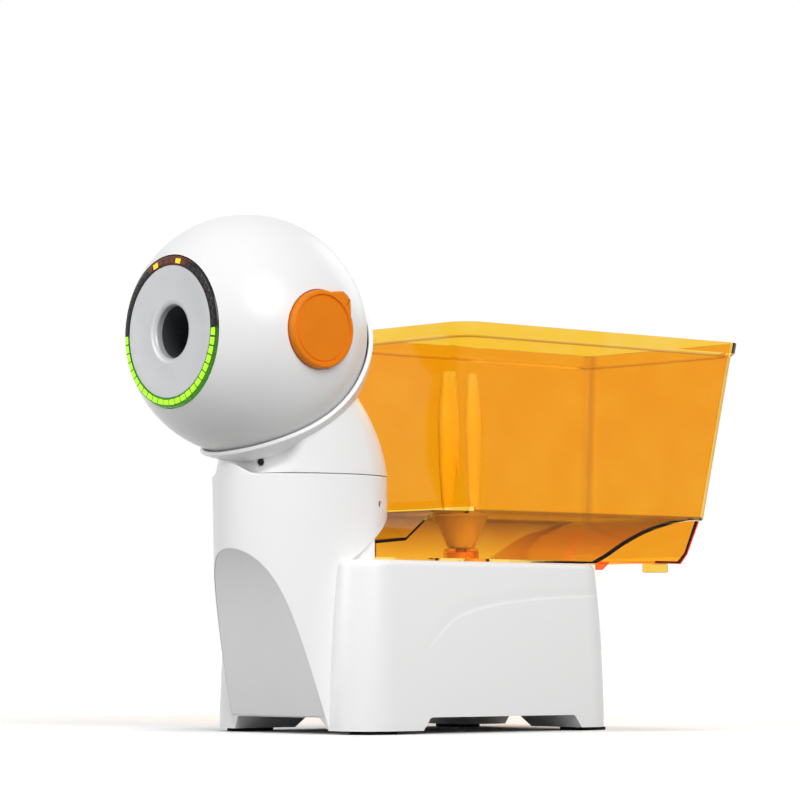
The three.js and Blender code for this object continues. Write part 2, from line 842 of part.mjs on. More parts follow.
// The rocker is V-shaped in side view and turns on the bezel's pin.
function powerRocker() {
  const { x, z, halfWidth, halfHeight, bezel, bezelOut, depth } = SWITCH;
  const { rockerOut, rockerGap, pin, seatRadius } = SWITCH;
  const face = rearSeat(SWITCH, halfHeight + bezel);
  const pivot = face - depth * SWITCH.pinShare;
  const half = halfHeight - bezel / 2 - rockerGap;
  const outline = [
    [pivot - seatRadius, z - half / 3],
    [face - GAP.weld, z - half],
    [face + bezelOut + rockerOut, z - half],
    [face + bezelOut / 3, z],
    [face + bezelOut, z + half],
    [face - GAP.weld, z + half],
    [pivot - seatRadius, z + half / 3],
  ];
  const side = halfWidth - bezel / 2 - GAP.seat;
  const cradle = rod("x", pin + GAP.seat, x - halfWidth, x + halfWidth, [pivot, z], FACETS.small);
  const mouth = block(
    [x - halfWidth, pivot - depth, z - pin - GAP.seat],
    [x + halfWidth, pivot, z + pin + GAP.seat],
  );
  return cut(prism("x", outline, x - side, x + side), cradle, mouth);
}

function dcInlet() {
  const { x, z, radius, flange, flangeOut, depth, bore, boreShare, tipShare, tip } = INLET;
  const face = rearSeat(INLET, flange);
  const body = rod("y", radius, face - depth, face + GAP.weld, [z, x], FACETS.small);
  const collar = rod("y", flange, face, face + flangeOut, [z, x], FACETS.small);
  const hole = rod("y", bore, face - depth * boreShare, face + flangeOut + GAP.overrun, [z, x], FACETS.small);
  const pin = rod("y", tip, face - depth * tipShare, face, [z, x], FACETS.hex);
  return join(cut(join(body, collar), hole), pin);
}

// Ball feed: the tube, and the geared drive under the agitator.
function feedTube() {
  const { bend, outletDepth, bearingDepth, downShares, upShares } = FEED;
  const leg = (shares, top) =>
    shares.map(([back, up]) => onPanPlane(back * HULL.outlet.y, bend + up * (top - bend)));
  const path = [...leg(downShares, BOX.top - outletDepth), ...leg(upShares, underTop(bearingDepth))];
  return pipe(path, FEED.inner, FEED.outer, FEED.steps);
}

const driveCentres = () =>
  ((DRIVE.gearTeeth + DRIVE.pinionTeeth) * DRIVE.module) / 2 + DRIVE.backlash / 2;

function driveBoss() {
  const at = [0, DRIVE.y];
  return join(
    rod("z", DRIVE.shaft, DRIVE.shaftLow, DRIVE.bossLow + GAP.weld, at, FACETS.small),
    rod("z", DRIVE.boss, DRIVE.bossLow, DRIVE.bossHigh, at),
    rod("z", DRIVE.hexRadius, DRIVE.bossHigh - GAP.weld, DRIVE.hexHigh, at, FACETS.hex),
  );
}

function driveGear() {
  const { gearTeeth: teeth, module, gearLow: low, gearHigh: high, backlash, shaft } = DRIVE;
  return gear({ teeth, module, bore: shaft + GAP.seat, low, high, backlash }, [0, DRIVE.y]);
}

function drivePinion() {
  const { pinionTeeth: teeth, module, gearLow: low, gearHigh: high, backlash } = DRIVE;
  const bore = DRIVE.motor.shaft + GAP.seat;
  const middle = [0, DRIVE.y + driveCentres()];
  return gear({ teeth, module, bore, low, high, backlash }, middle, Math.PI / teeth);
}

function driveBracket() {
  const { low, high, front, back, halfWidth, post } = DRIVE.plate;
  const plate = block([-halfWidth, front, low], [halfWidth, back, high]);
  const inset = post;
  const ceiling = BOX.top - BOX.wall - GAP.seat;
  const posts = [-1, 1].flatMap((side) =>
    [front + inset, back - inset].map((y) =>
      rod("z", post, high - GAP.weld, ceiling, [side * (halfWidth - inset), y], FACETS.small),
    ),
  );
  const ends = [low - GAP.overrun, high + GAP.overrun];
  return cut(
    join(plate, ...posts),
    rod("z", DRIVE.shaft + GAP.seat, ...ends, [0, DRIVE.y], FACETS.small),
    rod("z", DRIVE.motor.shaft + GAP.running, ...ends, [0, DRIVE.y + driveCentres()]),
    rod("z", FEED.outer + GAP.running, ...ends, [0, HULL.outlet.y]),
  );
}

function feedMotor() {
  const { radius, low, shaft, shaftHigh } = DRIVE.motor;
  const at = [0, DRIVE.y + driveCentres()];
  const top = DRIVE.plate.low - GAP.seat;
  return join(
    rod("z", radius, low, top, at),
    rod("z", radius / 3, low - GAP.overrun, low + GAP.weld, at, FACETS.small),
    rod("z", shaft, top - GAP.weld, shaftHigh, at, FACETS.small),
  );
}

// Pan drive, under the column's top plate.
const panCentres = () => ((PAN.ringTeeth + PAN.pinionTeeth) * PAN.module) / 2 + PAN.backlash / 2;

function panGear(teeth, bore, middle, turn) {
  const { module, backlash } = PAN;
  const [low, high] = [underTop(PAN.gearBottom), underTop(PAN.gearTop)];
  return gear({ teeth, module, bore, low, high, backlash }, middle, turn);
}

const panRingGear = () => panGear(PAN.ringTeeth, PAN.spigot.outer + GAP.seat, [0, 0], 0);

const panMotorPlace = () => [-panCentres(), 0];

function panPinion() {
  const teeth = PAN.pinionTeeth;
  return panGear(teeth, PAN.motor.shaft + GAP.seat, panMotorPlace(), Math.PI / teeth);
}

function panMotor() {
  const { radius, bottom, top, shaft } = PAN.motor;
  const at = panMotorPlace();
  return join(
    rod("z", radius, underTop(bottom), underTop(top), at),
    rod("z", shaft, underTop(top) - GAP.weld, underTop(PAN.gearTop) + GAP.seat, at, FACETS.small),
  );
}

function panBracket() {
  const { thickness, halfWidth, near, far, post } = PAN.bracket;
  const low = underTop(PAN.motor.top) + GAP.seat;
  const plate = block([-far, -halfWidth, low], [-near, halfWidth, low + thickness]);
  const top = COLUMN.top - COLUMN.wall - GAP.seat;
  const posts = [-1, 1].map((side) =>
    rod("z", post, low + thickness - GAP.weld, top, [post - far, side * (halfWidth - post)], FACETS.small),
  );
  const ends = [low - GAP.overrun, low + thickness + GAP.overrun];
  const hole = rod("z", PAN.motor.shaft + GAP.running, ...ends, panMotorPlace(), FACETS.small);
  return cut(join(plate, ...posts), hole);
}

function panBearing() {
  const { inner, outer, bottom, flange, flangeHeight } = PAN.bearing;
  const low = underTop(bottom);
  const plateLow = COLUMN.top - COLUMN.wall - GAP.seat;
  return turned("z", [
    [inner, low],
    [flange, low],
    [flange, Math.min(low + flangeHeight, plateLow)],
    [outer, Math.min(low + flangeHeight, plateLow)],
    [outer, COLUMN.top],
    [inner, COLUMN.top],
  ]);
}

const neckCore = () => ({
  halfDepth: COLUMN.halfDepth - NECK.recess.depth,
  halfWidth: COLUMN.halfWidth - NECK.recess.width,
});

// Neck: a leaning elliptical loft that ends in the head's cup. The recess sweeps in from a crease on each
// side, at outerTurn degrees from the front, to the core, which it reaches at innerTurn.
function neckRing([up, frontShare, backShare, innerTurn, outerTurn]) {
  const { rise, facets } = NECK;
  const { halfDepth, halfWidth } = COLUMN;
  const z = COLUMN.top + up * rise;
  const [front, back] = [frontShare * halfDepth, backShare * halfDepth];
  const ring = ellipseRing({ halfWidth, front, back, z }, facets);
  const core = neckCore();
  const coreRing = ellipseRing({ ...core, front: core.halfDepth, back: core.halfDepth, z }, facets);
  return ring.map((point, i) => {
    const turn = Math.abs((((360 * i) / facets + 90 + 180) % 360) - 180);
    return point.lerp(coreRing[i], 1 - THREE.MathUtils.smoothstep(turn, innerTurn, outerTurn));
  });
}

function neckHollow() {
  const { wall, rise, ringShares } = NECK;
  const core = neckCore();
  const ringAt = ([up, , backShare]) => {
    const z = Math.max(COLUMN.top + up * rise, neckLow() + wall);
    const [front, back] = [core.halfDepth - wall, backShare * COLUMN.halfDepth - wall];
    return ellipseRing({ halfWidth: core.halfWidth - wall, front, back, z }, FACETS.middle);
  };
  return loft(ringShares.filter((_, i) => i !== 1).map(ringAt));
}

const ballCentre = () => new THREE.Vector3(0, -HEAD.ahead, headHeight() + HEAD.ballRise);

function cupPoint(radius, spread, turn) {
  const axis = new THREE.Vector3(0, Math.cos(CUP.axis), -Math.sin(CUP.axis));
  const side = new THREE.Vector3(1, 0, 0);
  const under = new THREE.Vector3(0, -Math.sin(CUP.axis), -Math.cos(CUP.axis));
  return ballCentre()
    .addScaledVector(axis, radius * Math.cos(spread))
    .addScaledVector(under, radius * Math.sin(spread) * Math.cos(turn))
    .addScaledVector(side, radius * Math.sin(spread) * Math.sin(turn));
}

const rimSpread = (turn) => CUP.rim + CUP.rimTilt * Math.cos(turn) + CUP.rimSaddle * Math.cos(2 * turn);

function cupRing(radius, share, past = 0) {
  const ring = [];
  for (let i = 0; i < FACETS.large; i++) {
    const turn = (2 * Math.PI * i) / FACETS.large;
    ring.push(cupPoint(radius, share * rimSpread(turn) + past, turn));
  }
  return ring;
}

function cupRings(radius, count) {
  const rings = [];
  for (let i = 0; i <= count; i++) rings.push(cupRing(radius, i / count));
  return rings;
}

function headCup() {
  const { inner, outer, lipRound, rings } = CUP;
  const lip = CUP.lipShares.map((share) => cupRing(outer + share * (inner - outer), 1, lipRound / outer));
  return loft([...cupRings(outer, rings.outer), ...lip, ...cupRings(inner, rings.inner).reverse()]);
}

// All of the room in and over the cup, out to a radius.
const cupSolid = (radius) => loft([...cupRings(radius, CUP.rings.outer), cupRing(HEAD.radius, 2)]);

function headBall(radius, facets = FACETS.large) {
  const ball = new THREE.SphereGeometry(radius, facets, facets / 2).rotateX(Math.PI / 2);
  return solidOf(ball.translate(...ballCentre().toArray()));
}

function neckShell() {
  const filled = cupSolid(CUP.outer - GAP.weld);
  const { radius, depth, rise, angle } = NECK.screw;
  const front = neckCore().halfDepth;
  const ends = [-front - GAP.overrun, -front + depth];
  const screwTool = rod("y", radius, ...ends, [COLUMN.top + rise, 0], FACETS.small);
  const low = neckLow();
  const { outer, inner, bottom } = PAN.spigot;
  return cut(
    join(
      cut(loft(NECK.ringShares.map(neckRing)), neckHollow(), filled),
      headCup(),
      rod("z", outer, underTop(bottom), low + GAP.weld),
    ),
    screwTool.rotate([0, 0, angle / DEGREE]),
    rod("z", inner, underTop(bottom) - GAP.overrun, low + NECK.wall + GAP.overrun),
    rod("z", CUP.tubeHole, low + NECK.wall * 2, headHeight(), [0, yokePath()[2].y]),
  );
}

function yokePath() {
  const { tubeLow, tubeHigh, tubeReach, tubeShares } = YOKE;
  const height = (up) => COLUMN.top + tubeLow + up * (tubeHigh - tubeLow);
  return tubeShares.map(([ahead, up]) => onPanPlane(-ahead * tubeReach, height(up)));
}

// The yoke that carries the head: the upper feed tube with a half ring out to the two tilt pins.
function headYoke() {
  const outward = new THREE.Vector3(0, Math.cos(YOKE.angle), -Math.sin(YOKE.angle));
  const sideways = new THREE.Vector3(1, 0, 0);
  const normal = new THREE.Vector3().crossVectors(sideways, outward);
  const shape = new THREE.Shape().absarc(0, 0, YOKE.outer, 0, Math.PI, false);
  shape.absarc(0, 0, YOKE.inner, Math.PI, 0, true);
  const band = new THREE.ExtrudeGeometry(shape, {
    depth: YOKE.width,
    bevelEnabled: false,
    curveSegments: FACETS.small,
  }).translate(0, 0, -YOKE.width / 2);
  band.applyMatrix4(new THREE.Matrix4().makeBasis(sideways, outward, normal));
  band.translate(0, -HEAD.ahead, headHeight());
  const at = [-HEAD.ahead, headHeight()];
  const bosses = [-1, 1].map((side) => {
    const ends = [side * (YOKE.inner - GAP.overrun), side * (YOKE.outer + GAP.weld)].sort((a, b) => a - b);
    return rod("x", YOKE.boss, ...ends, at, FACETS.small);
  });
  const path = yokePath();
  const low = path[0].z;
  const { radius, thickness } = YOKE.foot;
  const foot = rod("z", radius, low - GAP.seat / 3, low + thickness);
  const boreBelow = onPanPlane(0, low - GAP.overrun);
  const [beforeLast, last] = path.slice(-2);
  const beyond = last.clone().multiplyScalar(2).sub(beforeLast);
  const bore = pipe([boreBelow, ...path, beyond], 0, YOKE.tubeInner, FACETS.curve);
  const pinHole = rod("x", KNOB.studRadius + GAP.seat, -HEAD.radius, HEAD.radius, at, FACETS.small);
  const outside = join(solidOf(band), ...bosses, foot, pipe(path, 0, YOKE.tubeOuter, FACETS.curve));
  return cut(outside, bore, pinHole);
}

// Head: a ball with a face opening, a slot for the yoke and a pocket on each side for a knob or cap.
function headShell() {
  const at = [-HEAD.ahead, headHeight()];
  const sides = [-1, 1];
  const between = (side, near, far) => [side * near, side * far].sort((a, b) => a - b);
  const inside = headBall(HEAD.radius - HEAD.wall, FACETS.middle);
  const bosses = sides.map((side) =>
    rod("x", KNOB.bossRadius, ...between(side, KNOB.bossInner, HEAD.radius), at),
  );
  const ball = headBall(HEAD.radius);
  const wall = cut(ball, cut(inside, ...bosses));
  const pockets = sides.map((side) =>
    rod("x", KNOB.pocket, ...between(side, KNOB.floor, HEAD.radius + GAP.overrun), at, FACETS.large),
  );
  const { from, to, halfWidth } = HEAD.slot;
  const opening = [-HEAD.ahead - HEAD.radius, -HEAD.ahead - CHASSIS.plateFront];
  const reach = HEAD.radius * 1.5;
  const wedge = [from, (from + to) / 2, to].map((angle) => [
    -HEAD.ahead + reach * Math.cos(angle),
    headHeight() - reach * Math.sin(angle),
  ]);
  return cut(
    wall,
    ...pockets,
    rod("x", HEAD.pivotBore, -HEAD.radius, HEAD.radius, at, FACETS.small),
    prism("x", [at, ...wedge], -halfWidth, halfWidth),
    rod("y", HEAD.openingRadius, ...opening, [headHeight(), 0], FACETS.large),
  );
}

// Face pieces are turned round the head's own axis, with distances ahead of its centre.
function onFace(profile, facets = FACETS.large) {
  const made = turned("y", profile.map(([radius, ahead]) => [radius, -ahead]), facets);
  return made.translate([0, -HEAD.ahead, headHeight()]);
}

function faceRing() {
  const { ringOuter, ringInner, ringWall, ringBack, ringEdge, ringCrown, ringFront } = FACE;
  const crownRadius = (ringOuter + ringInner) / 2 - ringWall / 2;
  return onFace([
    [ringInner, ringBack],
    [ringInner, ringFront],
    [crownRadius, ringCrown],
    [(crownRadius + ringOuter) / 2, (ringCrown * 2 + ringEdge) / 3],
    [ringOuter, ringEdge],
    [ringOuter, ringBack],
    [ringOuter - ringWall, ringBack],
    [ringOuter - ringWall, ringEdge - ringWall / 2],
    [crownRadius, ringCrown - ringWall],
    [ringInner + ringWall, ringFront - ringWall],
    [ringInner + ringWall, ringBack],
  ]);
}

function ledBoard() {
  const { board, chips, chip } = FACE;
  const profile = [
    [board.inner, board.back],
    [board.inner, board.front],
    [board.outer, board.front],
    [board.outer, board.back],
  ];
  const ring = onFace(profile, FACETS.middle);
  const middle = (board.inner + board.outer) / 2;
  const made = [];
  for (let i = 0; i < chips; i++) {
    const from = -HEAD.ahead - board.front - chip.height;
    const lamp = block(
      [middle - chip.depth / 2, from, -chip.width / 2],
      [middle + chip.depth / 2, from + chip.height + GAP.weld, chip.width / 2],
    );
    made.push(lamp.rotate([0, (360 * (i + 0.5)) / chips, 0]).translate([0, 0, headHeight()]));
  }
  return join(ring, ...made);
}

function facePlate() {
  const { plateFront, plateRadius, plateThickness, plateDish, lipRadius, muzzle, muzzleWall, throat } = FACE;
  const back = CHASSIS.plateFront + GAP.seat;
  const lipFront = plateDish + (plateFront - plateDish) / 2;
  return onFace([
    [plateRadius, back],
    [plateRadius, plateFront],
    [plateRadius - muzzleWall, plateFront],
    [lipRadius, plateDish],
    [(lipRadius + muzzle) / 2, lipFront - plateThickness / 3],
    [muzzle, throat],
    [muzzle, back],
    [muzzle + muzzleWall, back],
    [muzzle + muzzleWall, throat - plateThickness / 2],
    [lipRadius, plateDish - plateThickness],
    [plateRadius - muzzleWall, plateFront - plateThickness],
    [plateRadius - muzzleWall, back],
  ]);
}

const wheelHeight = (side) => headHeight() + side * (WHEEL.grip + WHEEL.radius);
const wheelY = () => -HEAD.ahead - CHASSIS.wheelAhead;

function chassis() {
  const { plateRadius, plateFront, plateBack, barrelInner, barrelOuter, barrelBack } = CHASSIS;
  const { windowHalfLength, mount } = CHASSIS;
  const body = onFace(
    [
      [barrelInner, plateFront],
      [plateRadius, plateFront],
      [plateRadius, plateBack],
      [barrelOuter, plateBack],
      [barrelOuter, barrelBack],
      [barrelInner, barrelBack],
    ],
    FACETS.middle,
  );
  const window = block(
    [-WHEEL.halfWidth - GAP.running * 2, wheelY() - windowHalfLength, headHeight() - HEAD.radius / 2],
    [WHEEL.halfWidth + GAP.running * 2, wheelY() + windowHalfLength, headHeight() + HEAD.radius / 2],
  );
  const mounts = [-1, 1].map((side) => {
    const x = [side * mount.near, side * mount.far].sort((a, b) => a - b);
    const z = [headHeight() + side * mount.low, headHeight() + side * mount.high].sort((a, b) => a - b);
    const plate = block([x[0], wheelY() - mount.halfLength, z[0]], [x[1], wheelY() + mount.halfLength, z[1]]);
    const ends = [x[0] - GAP.overrun, x[1] + GAP.overrun];
    const hole = rod("x", WHEEL.shaft + GAP.running, ...ends, [wheelY(), wheelHeight(side)]);
    return cut(plate, hole, rod("y", barrelInner, -HEAD.ahead - plateFront, -HEAD.ahead, [headHeight(), 0]));
  });
  const gussets = [-1, 1].map((side) => {
    const x = [side * mount.near, side * mount.far].sort((a, b) => a - b);
    const z = [headHeight() + side * barrelOuter, headHeight() + side * mount.high].sort((a, b) => a - b);
    const [near, far] = [-HEAD.ahead - plateBack - GAP.weld, wheelY() - mount.halfLength + GAP.weld];
    return block([x[0], near, z[0]], [x[1], far, z[1]]);
  });
  return join(cut(body, window), ...mounts, ...gussets);
}

// A throwing wheel about X: a webbed hub inside a grippy tyre.
function wheelHub(side) {
  const { hub, halfWidth, web, shaft, collar } = WHEEL;
  const made = turned(
    "x",
    [
      [shaft + GAP.seat, -halfWidth],
      [collar, -halfWidth],
      [collar, -web],
      [hub - web, -web],
      [hub - web, -halfWidth],
      [hub, -halfWidth],
      [hub, halfWidth],
      [hub - web, halfWidth],
      [hub - web, web],
      [collar, web],
      [collar, halfWidth],
      [shaft + GAP.seat, halfWidth],
    ],
    FACETS.small,
  );
  return made.translate([0, wheelY(), wheelHeight(side)]);
}

function wheelTyre(side) {
  const { radius, halfWidth, hub } = WHEEL;
  const crown = halfWidth / 4;
  const made = turned(
    "x",
    [
      [hub + GAP.seat, -halfWidth],
      [radius - crown / 2, -halfWidth],
      [radius, -halfWidth + crown],
      [radius, halfWidth - crown],
      [radius - crown / 2, halfWidth],
      [hub + GAP.seat, halfWidth],
    ],
    FACETS.middle,
  );
  return made.translate([0, wheelY(), wheelHeight(side)]);
}

function wheelMotor(side) {
  const at = [wheelY(), wheelHeight(side)];
  const { motorRadius, motorFar, shaft, halfWidth } = WHEEL;
  const face = CHASSIS.mount.far + GAP.seat;
  const between = (near, far) => [side * near, side * far].sort((a, b) => a - b);
  return join(
    rod("x", motorRadius, ...between(face, motorFar), at),
    rod("x", motorRadius / 3, ...between(motorFar - GAP.weld, motorFar + GAP.overrun), at, FACETS.small),
    rod("x", shaft, ...between(-halfWidth, face + GAP.weld), at, FACETS.small),
  );
}

// Tilt pins and the knob. Outlines are in the plane of the head's side, as [y, z] from the tilt axis.
function tiltPin(side) {
  const ends = [side * KNOB.studBack, side * KNOB.studHead].sort((a, b) => a - b);
  return rod("x", KNOB.studRadius, ...ends, [-HEAD.ahead, headHeight()], FACETS.small);
}

function knobOutline() {
  const { radius, tabReach, tabAngle, tabHalfAngle } = KNOB;
  const outline = [];
  const steps = FACETS.large;
  const start = tabAngle + tabHalfAngle;
  const sweep = 2 * Math.PI - 2 * tabHalfAngle;
  for (let i = 0; i <= steps; i++) {
    const angle = start + (sweep * i) / steps;
    outline.push([radius * Math.cos(angle), radius * Math.sin(angle)]);
  }
  for (const share of KNOB.tabShares) {
    const angle = tabAngle + share * tabHalfAngle;
    const reach = tabReach - (share && KNOB.tabDrop);
    outline.push([reach * Math.cos(angle), reach * Math.sin(angle)]);
  }
  return outline;
}

function tiltKnob() {
  const at = [-HEAD.ahead, headHeight()];
  const { radius, floor, face, tabFloor, grooveRadius, grooveWidth, grooveDepth, studRadius } = KNOB;
  const disc = rod("x", radius, floor + GAP.running, tabFloor + GAP.weld, at, FACETS.large);
  const cap = prism("x", knobOutline(), tabFloor, face).translate([0, ...at]);
  const [inner, outer] = [grooveRadius - grooveWidth / 2, grooveRadius + grooveWidth / 2];
  const groove = cut(
    rod("x", outer, face - grooveDepth, face + GAP.overrun, at, FACETS.large),
    rod("x", inner, face - grooveDepth * 2, face + GAP.overrun * 2, at, FACETS.large),
  );
  const socket = rod("x", studRadius + GAP.seat, floor, KNOB.studHead + GAP.seat, at, FACETS.small);
  return cut(join(disc, cap), groove, socket);
}

function pivotCap() {
  const { radius, floor, studRadius, face, crown, crownShares } = KNOB;
  const ends = [-KNOB.studHead - GAP.seat, -floor];
  const socket = rod("x", studRadius + GAP.seat, ...ends, [-HEAD.ahead, headHeight()], FACETS.small);
  const made = turned("x", [
    [0, -face],
    [radius * crownShares[0], -face + crown * crownShares[1]],
    [radius, -face + crown],
    [radius, -floor - GAP.seat],
    [0, -floor - GAP.seat],
  ]).translate([0, -HEAD.ahead, headHeight()]);
  return cut(made, socket);
}

// Hopper: a drafted bin over a narrow hull whose nose slides in under the column.
function binRing(z, grown) {
  const share = (z - BIN.ledge.z) / (BIN.rim.z - BIN.ledge.z);
  const between = (name) => {
    const top = BIN.rim[name] + (name === "front" ? BIN.flange : -BIN.flange);
    return BIN.ledge[name] + share * (top - BIN.ledge[name]);
  };
  return roundedRing({
    low: between("front") - grown,
    high: between("back") + grown,
    lowCorner: BIN.frontCorner + grown,
    highCorner: BIN.backCorner + grown,
    halfWidth: between("halfWidth") + grown,
    z,
  });
}

// The hull's back as [y, z] points from the floor to the ledge, moved in by an inset.
function hullRise(inset) {
  const height = BIN.ledge.z - HULL.floor;
  return HULL.riseShares.map(([along, up]) => [
    HULL.start + along * (HULL.back - HULL.start) - inset,
    HULL.floor + up * height + inset * 0.8,
  ]);
}

function hullSide(inset, top) {
  const { floor, noseFront, noseHigh, noseBack, noseBackHigh, roofFront, shoulder } = HULL;
  const front = noseFront + inset;
  const rise = hullRise(inset);
  return [
    [front, floor + inset],
    ...rise.map(([y, z]) => [y, Math.min(z, top)]),
    [rise[rise.length - 1][0], top],
    [shoulder + inset, top],
    [shoulder + inset, BIN.ledge.z - inset],
    [roofFront + inset * HULL.miter, BIN.ledge.z - inset],
    [noseBack + inset * HULL.miter, noseBackHigh - inset],
    [front, noseHigh - inset],
  ];
}

function hullPlan(inset) {
  const { halfWidth, noseHalfWidth, noseFront, noseBack, shoulder, back } = HULL;
  const right = [
    [noseHalfWidth - inset, noseFront + inset],
    [noseHalfWidth - inset, noseBack],
    [halfWidth - inset, shoulder],
    [halfWidth - inset, back - inset],
  ];
  const left = right.map(([x, y]) => [-x, y]).reverse();
  return [...right, ...left];
}

function hull(inset, top) {
  const side = prism("x", hullSide(inset, top), -HULL.halfWidth, HULL.halfWidth);
  return side.intersect(prism("z", hullPlan(inset), HULL.floor, top));
}

function hopperBin() {
  const { ledge, rim, flange, flangeHeight, flangeChamfer, wall } = BIN;
  const outer = loft([
    binRing(ledge.z - wall, 0),
    binRing(rim.z - flangeHeight - flangeChamfer, 0),
    binRing(rim.z - flangeHeight, flange),
    binRing(rim.z, flange),
  ]);
  const inner = loft([binRing(ledge.z, -wall), binRing(rim.z + GAP.overrun, -wall)]);
  const cap = HULL.cap;
  const at = [0, DRIVE.y];
  const body = join(
    cut(join(outer, hull(0, ledge.z - GAP.weld)), inner, hull(HULL.wall, ledge.z + GAP.overrun)),
    rod("z", cap.radius, HULL.floor + GAP.weld, cap.top, at),
  );
  return cut(
    body,
    rod("z", cap.radius - cap.wall, HULL.floor - GAP.overrun, cap.top - cap.wall, at),
    rod("z", cap.bore, cap.top - cap.wall * 2, cap.top + GAP.overrun, at, FACETS.small),
    rod("z", HULL.outlet.radius, HULL.floor - GAP.overrun, HULL.floor + HULL.wall * 2, [0, HULL.outlet.y]),
  );
}

// The skirt under the bin's overhang: two sides, a back, a floor strip with two stub feet, and a hook on
// each side that drops behind the base.
function hopperSkirt() {
  const { halfWidth, wall, hook, bottom, heel, top, foot } = SKIRT;
  const ceiling = BIN.ledge.z - BIN.wall - GAP.seat;
  const under = hullRise(0)
    .filter(([y]) => y > hook.front)
    .map(([y, z]) => [y, Math.min(z - GAP.running, ceiling)]);
  const outside = prism(
    "x",
    [
      [hook.front, hook.z],
      [hook.back, hook.z],
      [bottom.front, bottom.z],
      [bottom.back, bottom.z],
      [heel.y, heel.z],
      [top.y, ceiling],
      [HULL.back + GAP.seat, ceiling],
      ...under.reverse(),
      [hook.front, HULL.floor - GAP.running],
    ],
    -halfWidth,
    halfWidth,
  );
  const inside = prism(
    "x",
    [
      [hook.front - GAP.overrun, bottom.z + wall],
      [bottom.back - wall, bottom.z + wall],
      [heel.y - wall, heel.z + wall / 2],
      [top.y - wall, ceiling + GAP.overrun],
      [hook.front - GAP.overrun, ceiling + GAP.overrun],
    ],
    -halfWidth + wall,
    halfWidth - wall,
  );
  const floorFront = foot.y - foot.radius - wall;
  const ahead = block([-halfWidth + wall, 0, 0], [halfWidth - wall, floorFront, bottom.z + wall * 2]);
  const feet = [-1, 1].map((side) =>
    rod("z", foot.radius, foot.low, bottom.z + wall / 2, [side * foot.x, foot.y], FACETS.small),
  );
  return join(cut(outside, inside, ahead), ...feet);
}

// Agitator: a cone on the drive's hexagon, with two waisted posts.
function agitator() {
  const { low, high, coneLow, coneHigh, discHeight, socket, socketHigh } = AGITATOR;
  const { post, postHalfWidths, postHeightShares } = AGITATOR;
  const at = [0, DRIVE.y];
  const cone = rod("z", coneLow, low, high - discHeight + GAP.weld, at, FACETS.middle, coneHigh);
  const disc = rod("z", coneHigh, high - discHeight, high, at);
  const posts = [-1, 1].map((side) => {
    const span = post.top - high + GAP.weld;
    const ring = (half, z) =>
      ellipseRing({ halfWidth: half * post.thin, front: half, back: half, z }, FACETS.small).map((point) =>
        point.add(new THREE.Vector3(0, DRIVE.y + side * post.offset, 0)),
      );
    return loft(postHalfWidths.map((half, i) => ring(half, high - GAP.weld + postHeightShares[i] * span)));
  });
  const hole = rod("z", socket, low - GAP.overrun, socketHigh, at, FACETS.hex);
  return cut(join(cone, disc, ...posts), hole);
}

const robot = new THREE.Group();

function add(name, solid, colour, group) {
  const mesh = new THREE.Mesh(geometryOf(solid), new THREE.MeshStandardMaterial(COLOUR[colour]));
  mesh.name = name;
  group.add(mesh);
}

function buildBase() {
  const base = new THREE.Group();
  add("base_shell", baseShell(), "white", base);
  add("front_panel", frontPanel(), "grey", base);
  add("bottom_cover", bottomCover(), "grey", base);
  for (const [place, x, y] of footPlaces()) {
    add("rubber_foot_" + place, rubberFoot().translate([x, y, 0]), "rubber", base);
  }
  add("control_board", controlBoard(), "board", base);
  add("power_switch_bezel", powerSwitchBezel(), "black", base);
  add("power_rocker", powerRocker(), "black", base);
  add("dc_inlet", dcInlet(), "black", base);
  add("feed_tube", feedTube(), "darkGrey", base);
  add("drive_bracket", driveBracket(), "steel", base);
  add("feed_motor", feedMotor(), "steel", base);
  add("drive_pinion", drivePinion(), "nylon", base);
  add("drive_gear", driveGear(), "nylon", base);
  add("drive_boss", driveBoss(), "white", base);
  add("pan_bearing", panBearing(), "nylon", base);
  add("pan_bracket", panBracket(), "steel", base);
  add("pan_motor", panMotor(), "steel", base);
  add("pan_pinion", panPinion(), "nylon", base);
  return base;
}

function buildNeck() {
  const neck = new THREE.Group();
  add("neck_shell", neckShell(), "white", neck);
  add("pan_ring_gear", panRingGear(), "nylon", neck);
  add("head_yoke", headYoke(), "darkGrey", neck);
  add("tilt_stud", tiltPin(1), "steel", neck);
  add("tilt_pin", tiltPin(-1), "steel", neck);
  return neck;
}

function buildHead() {
  const head = new THREE.Group();
  add("head_shell", headShell(), "white", head);
  add("face_ring", faceRing(), "smoked", head);
  add("led_board", ledBoard(), "board", head);
  add("face_plate", facePlate(), "silver", head);
  add("throwing_chassis", chassis(), "darkGrey", head);
  for (const [place, side] of [
    ["upper", 1],
    ["lower", -1],
  ]) {
    add(place + "_wheel_hub", wheelHub(side), "nylon", head);
    add(place + "_wheel_tyre", wheelTyre(side), "rubber", head);
    add(place + "_wheel_motor", wheelMotor(side), "steel", head);
  }
  add("tilt_knob", tiltKnob(), "orange", head);
  add("pivot_cap", pivotCap(), "white", head);
  return head;
}

function buildHopper() {
  const hopper = new THREE.Group();
  add("hopper_bin", hopperBin(), "clearOrange", hopper);
  add("hopper_skirt", hopperSkirt(), "clearOrange", hopper);
  add("agitator", agitator(), "grey", hopper);
  return hopper;
}

robot.add(buildBase(), buildNeck(), buildHead(), buildHopper());
// The robot reaches from the face ring's front to the back of the hopper's rim.
robot.position.y = (HEAD.ahead + FACE.ringFront - BIN.rim.back) / 2;

export default robot;
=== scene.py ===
"""The looks of a table tennis robot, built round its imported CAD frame.

Sizes are millimetres in the drawing's own axes: X to the robot's left, Y behind the pan axis and Z up.
Each mesh is scaled to metres and moved into the row frame once its form is done.
"""

import logging
from collections.abc import Iterable, Sequence
from dataclasses import dataclass, field
from enum import Enum
from math import asin, cos, hypot, pi, radians, sin, sqrt

import bpy
from mathutils import Matrix, Vector


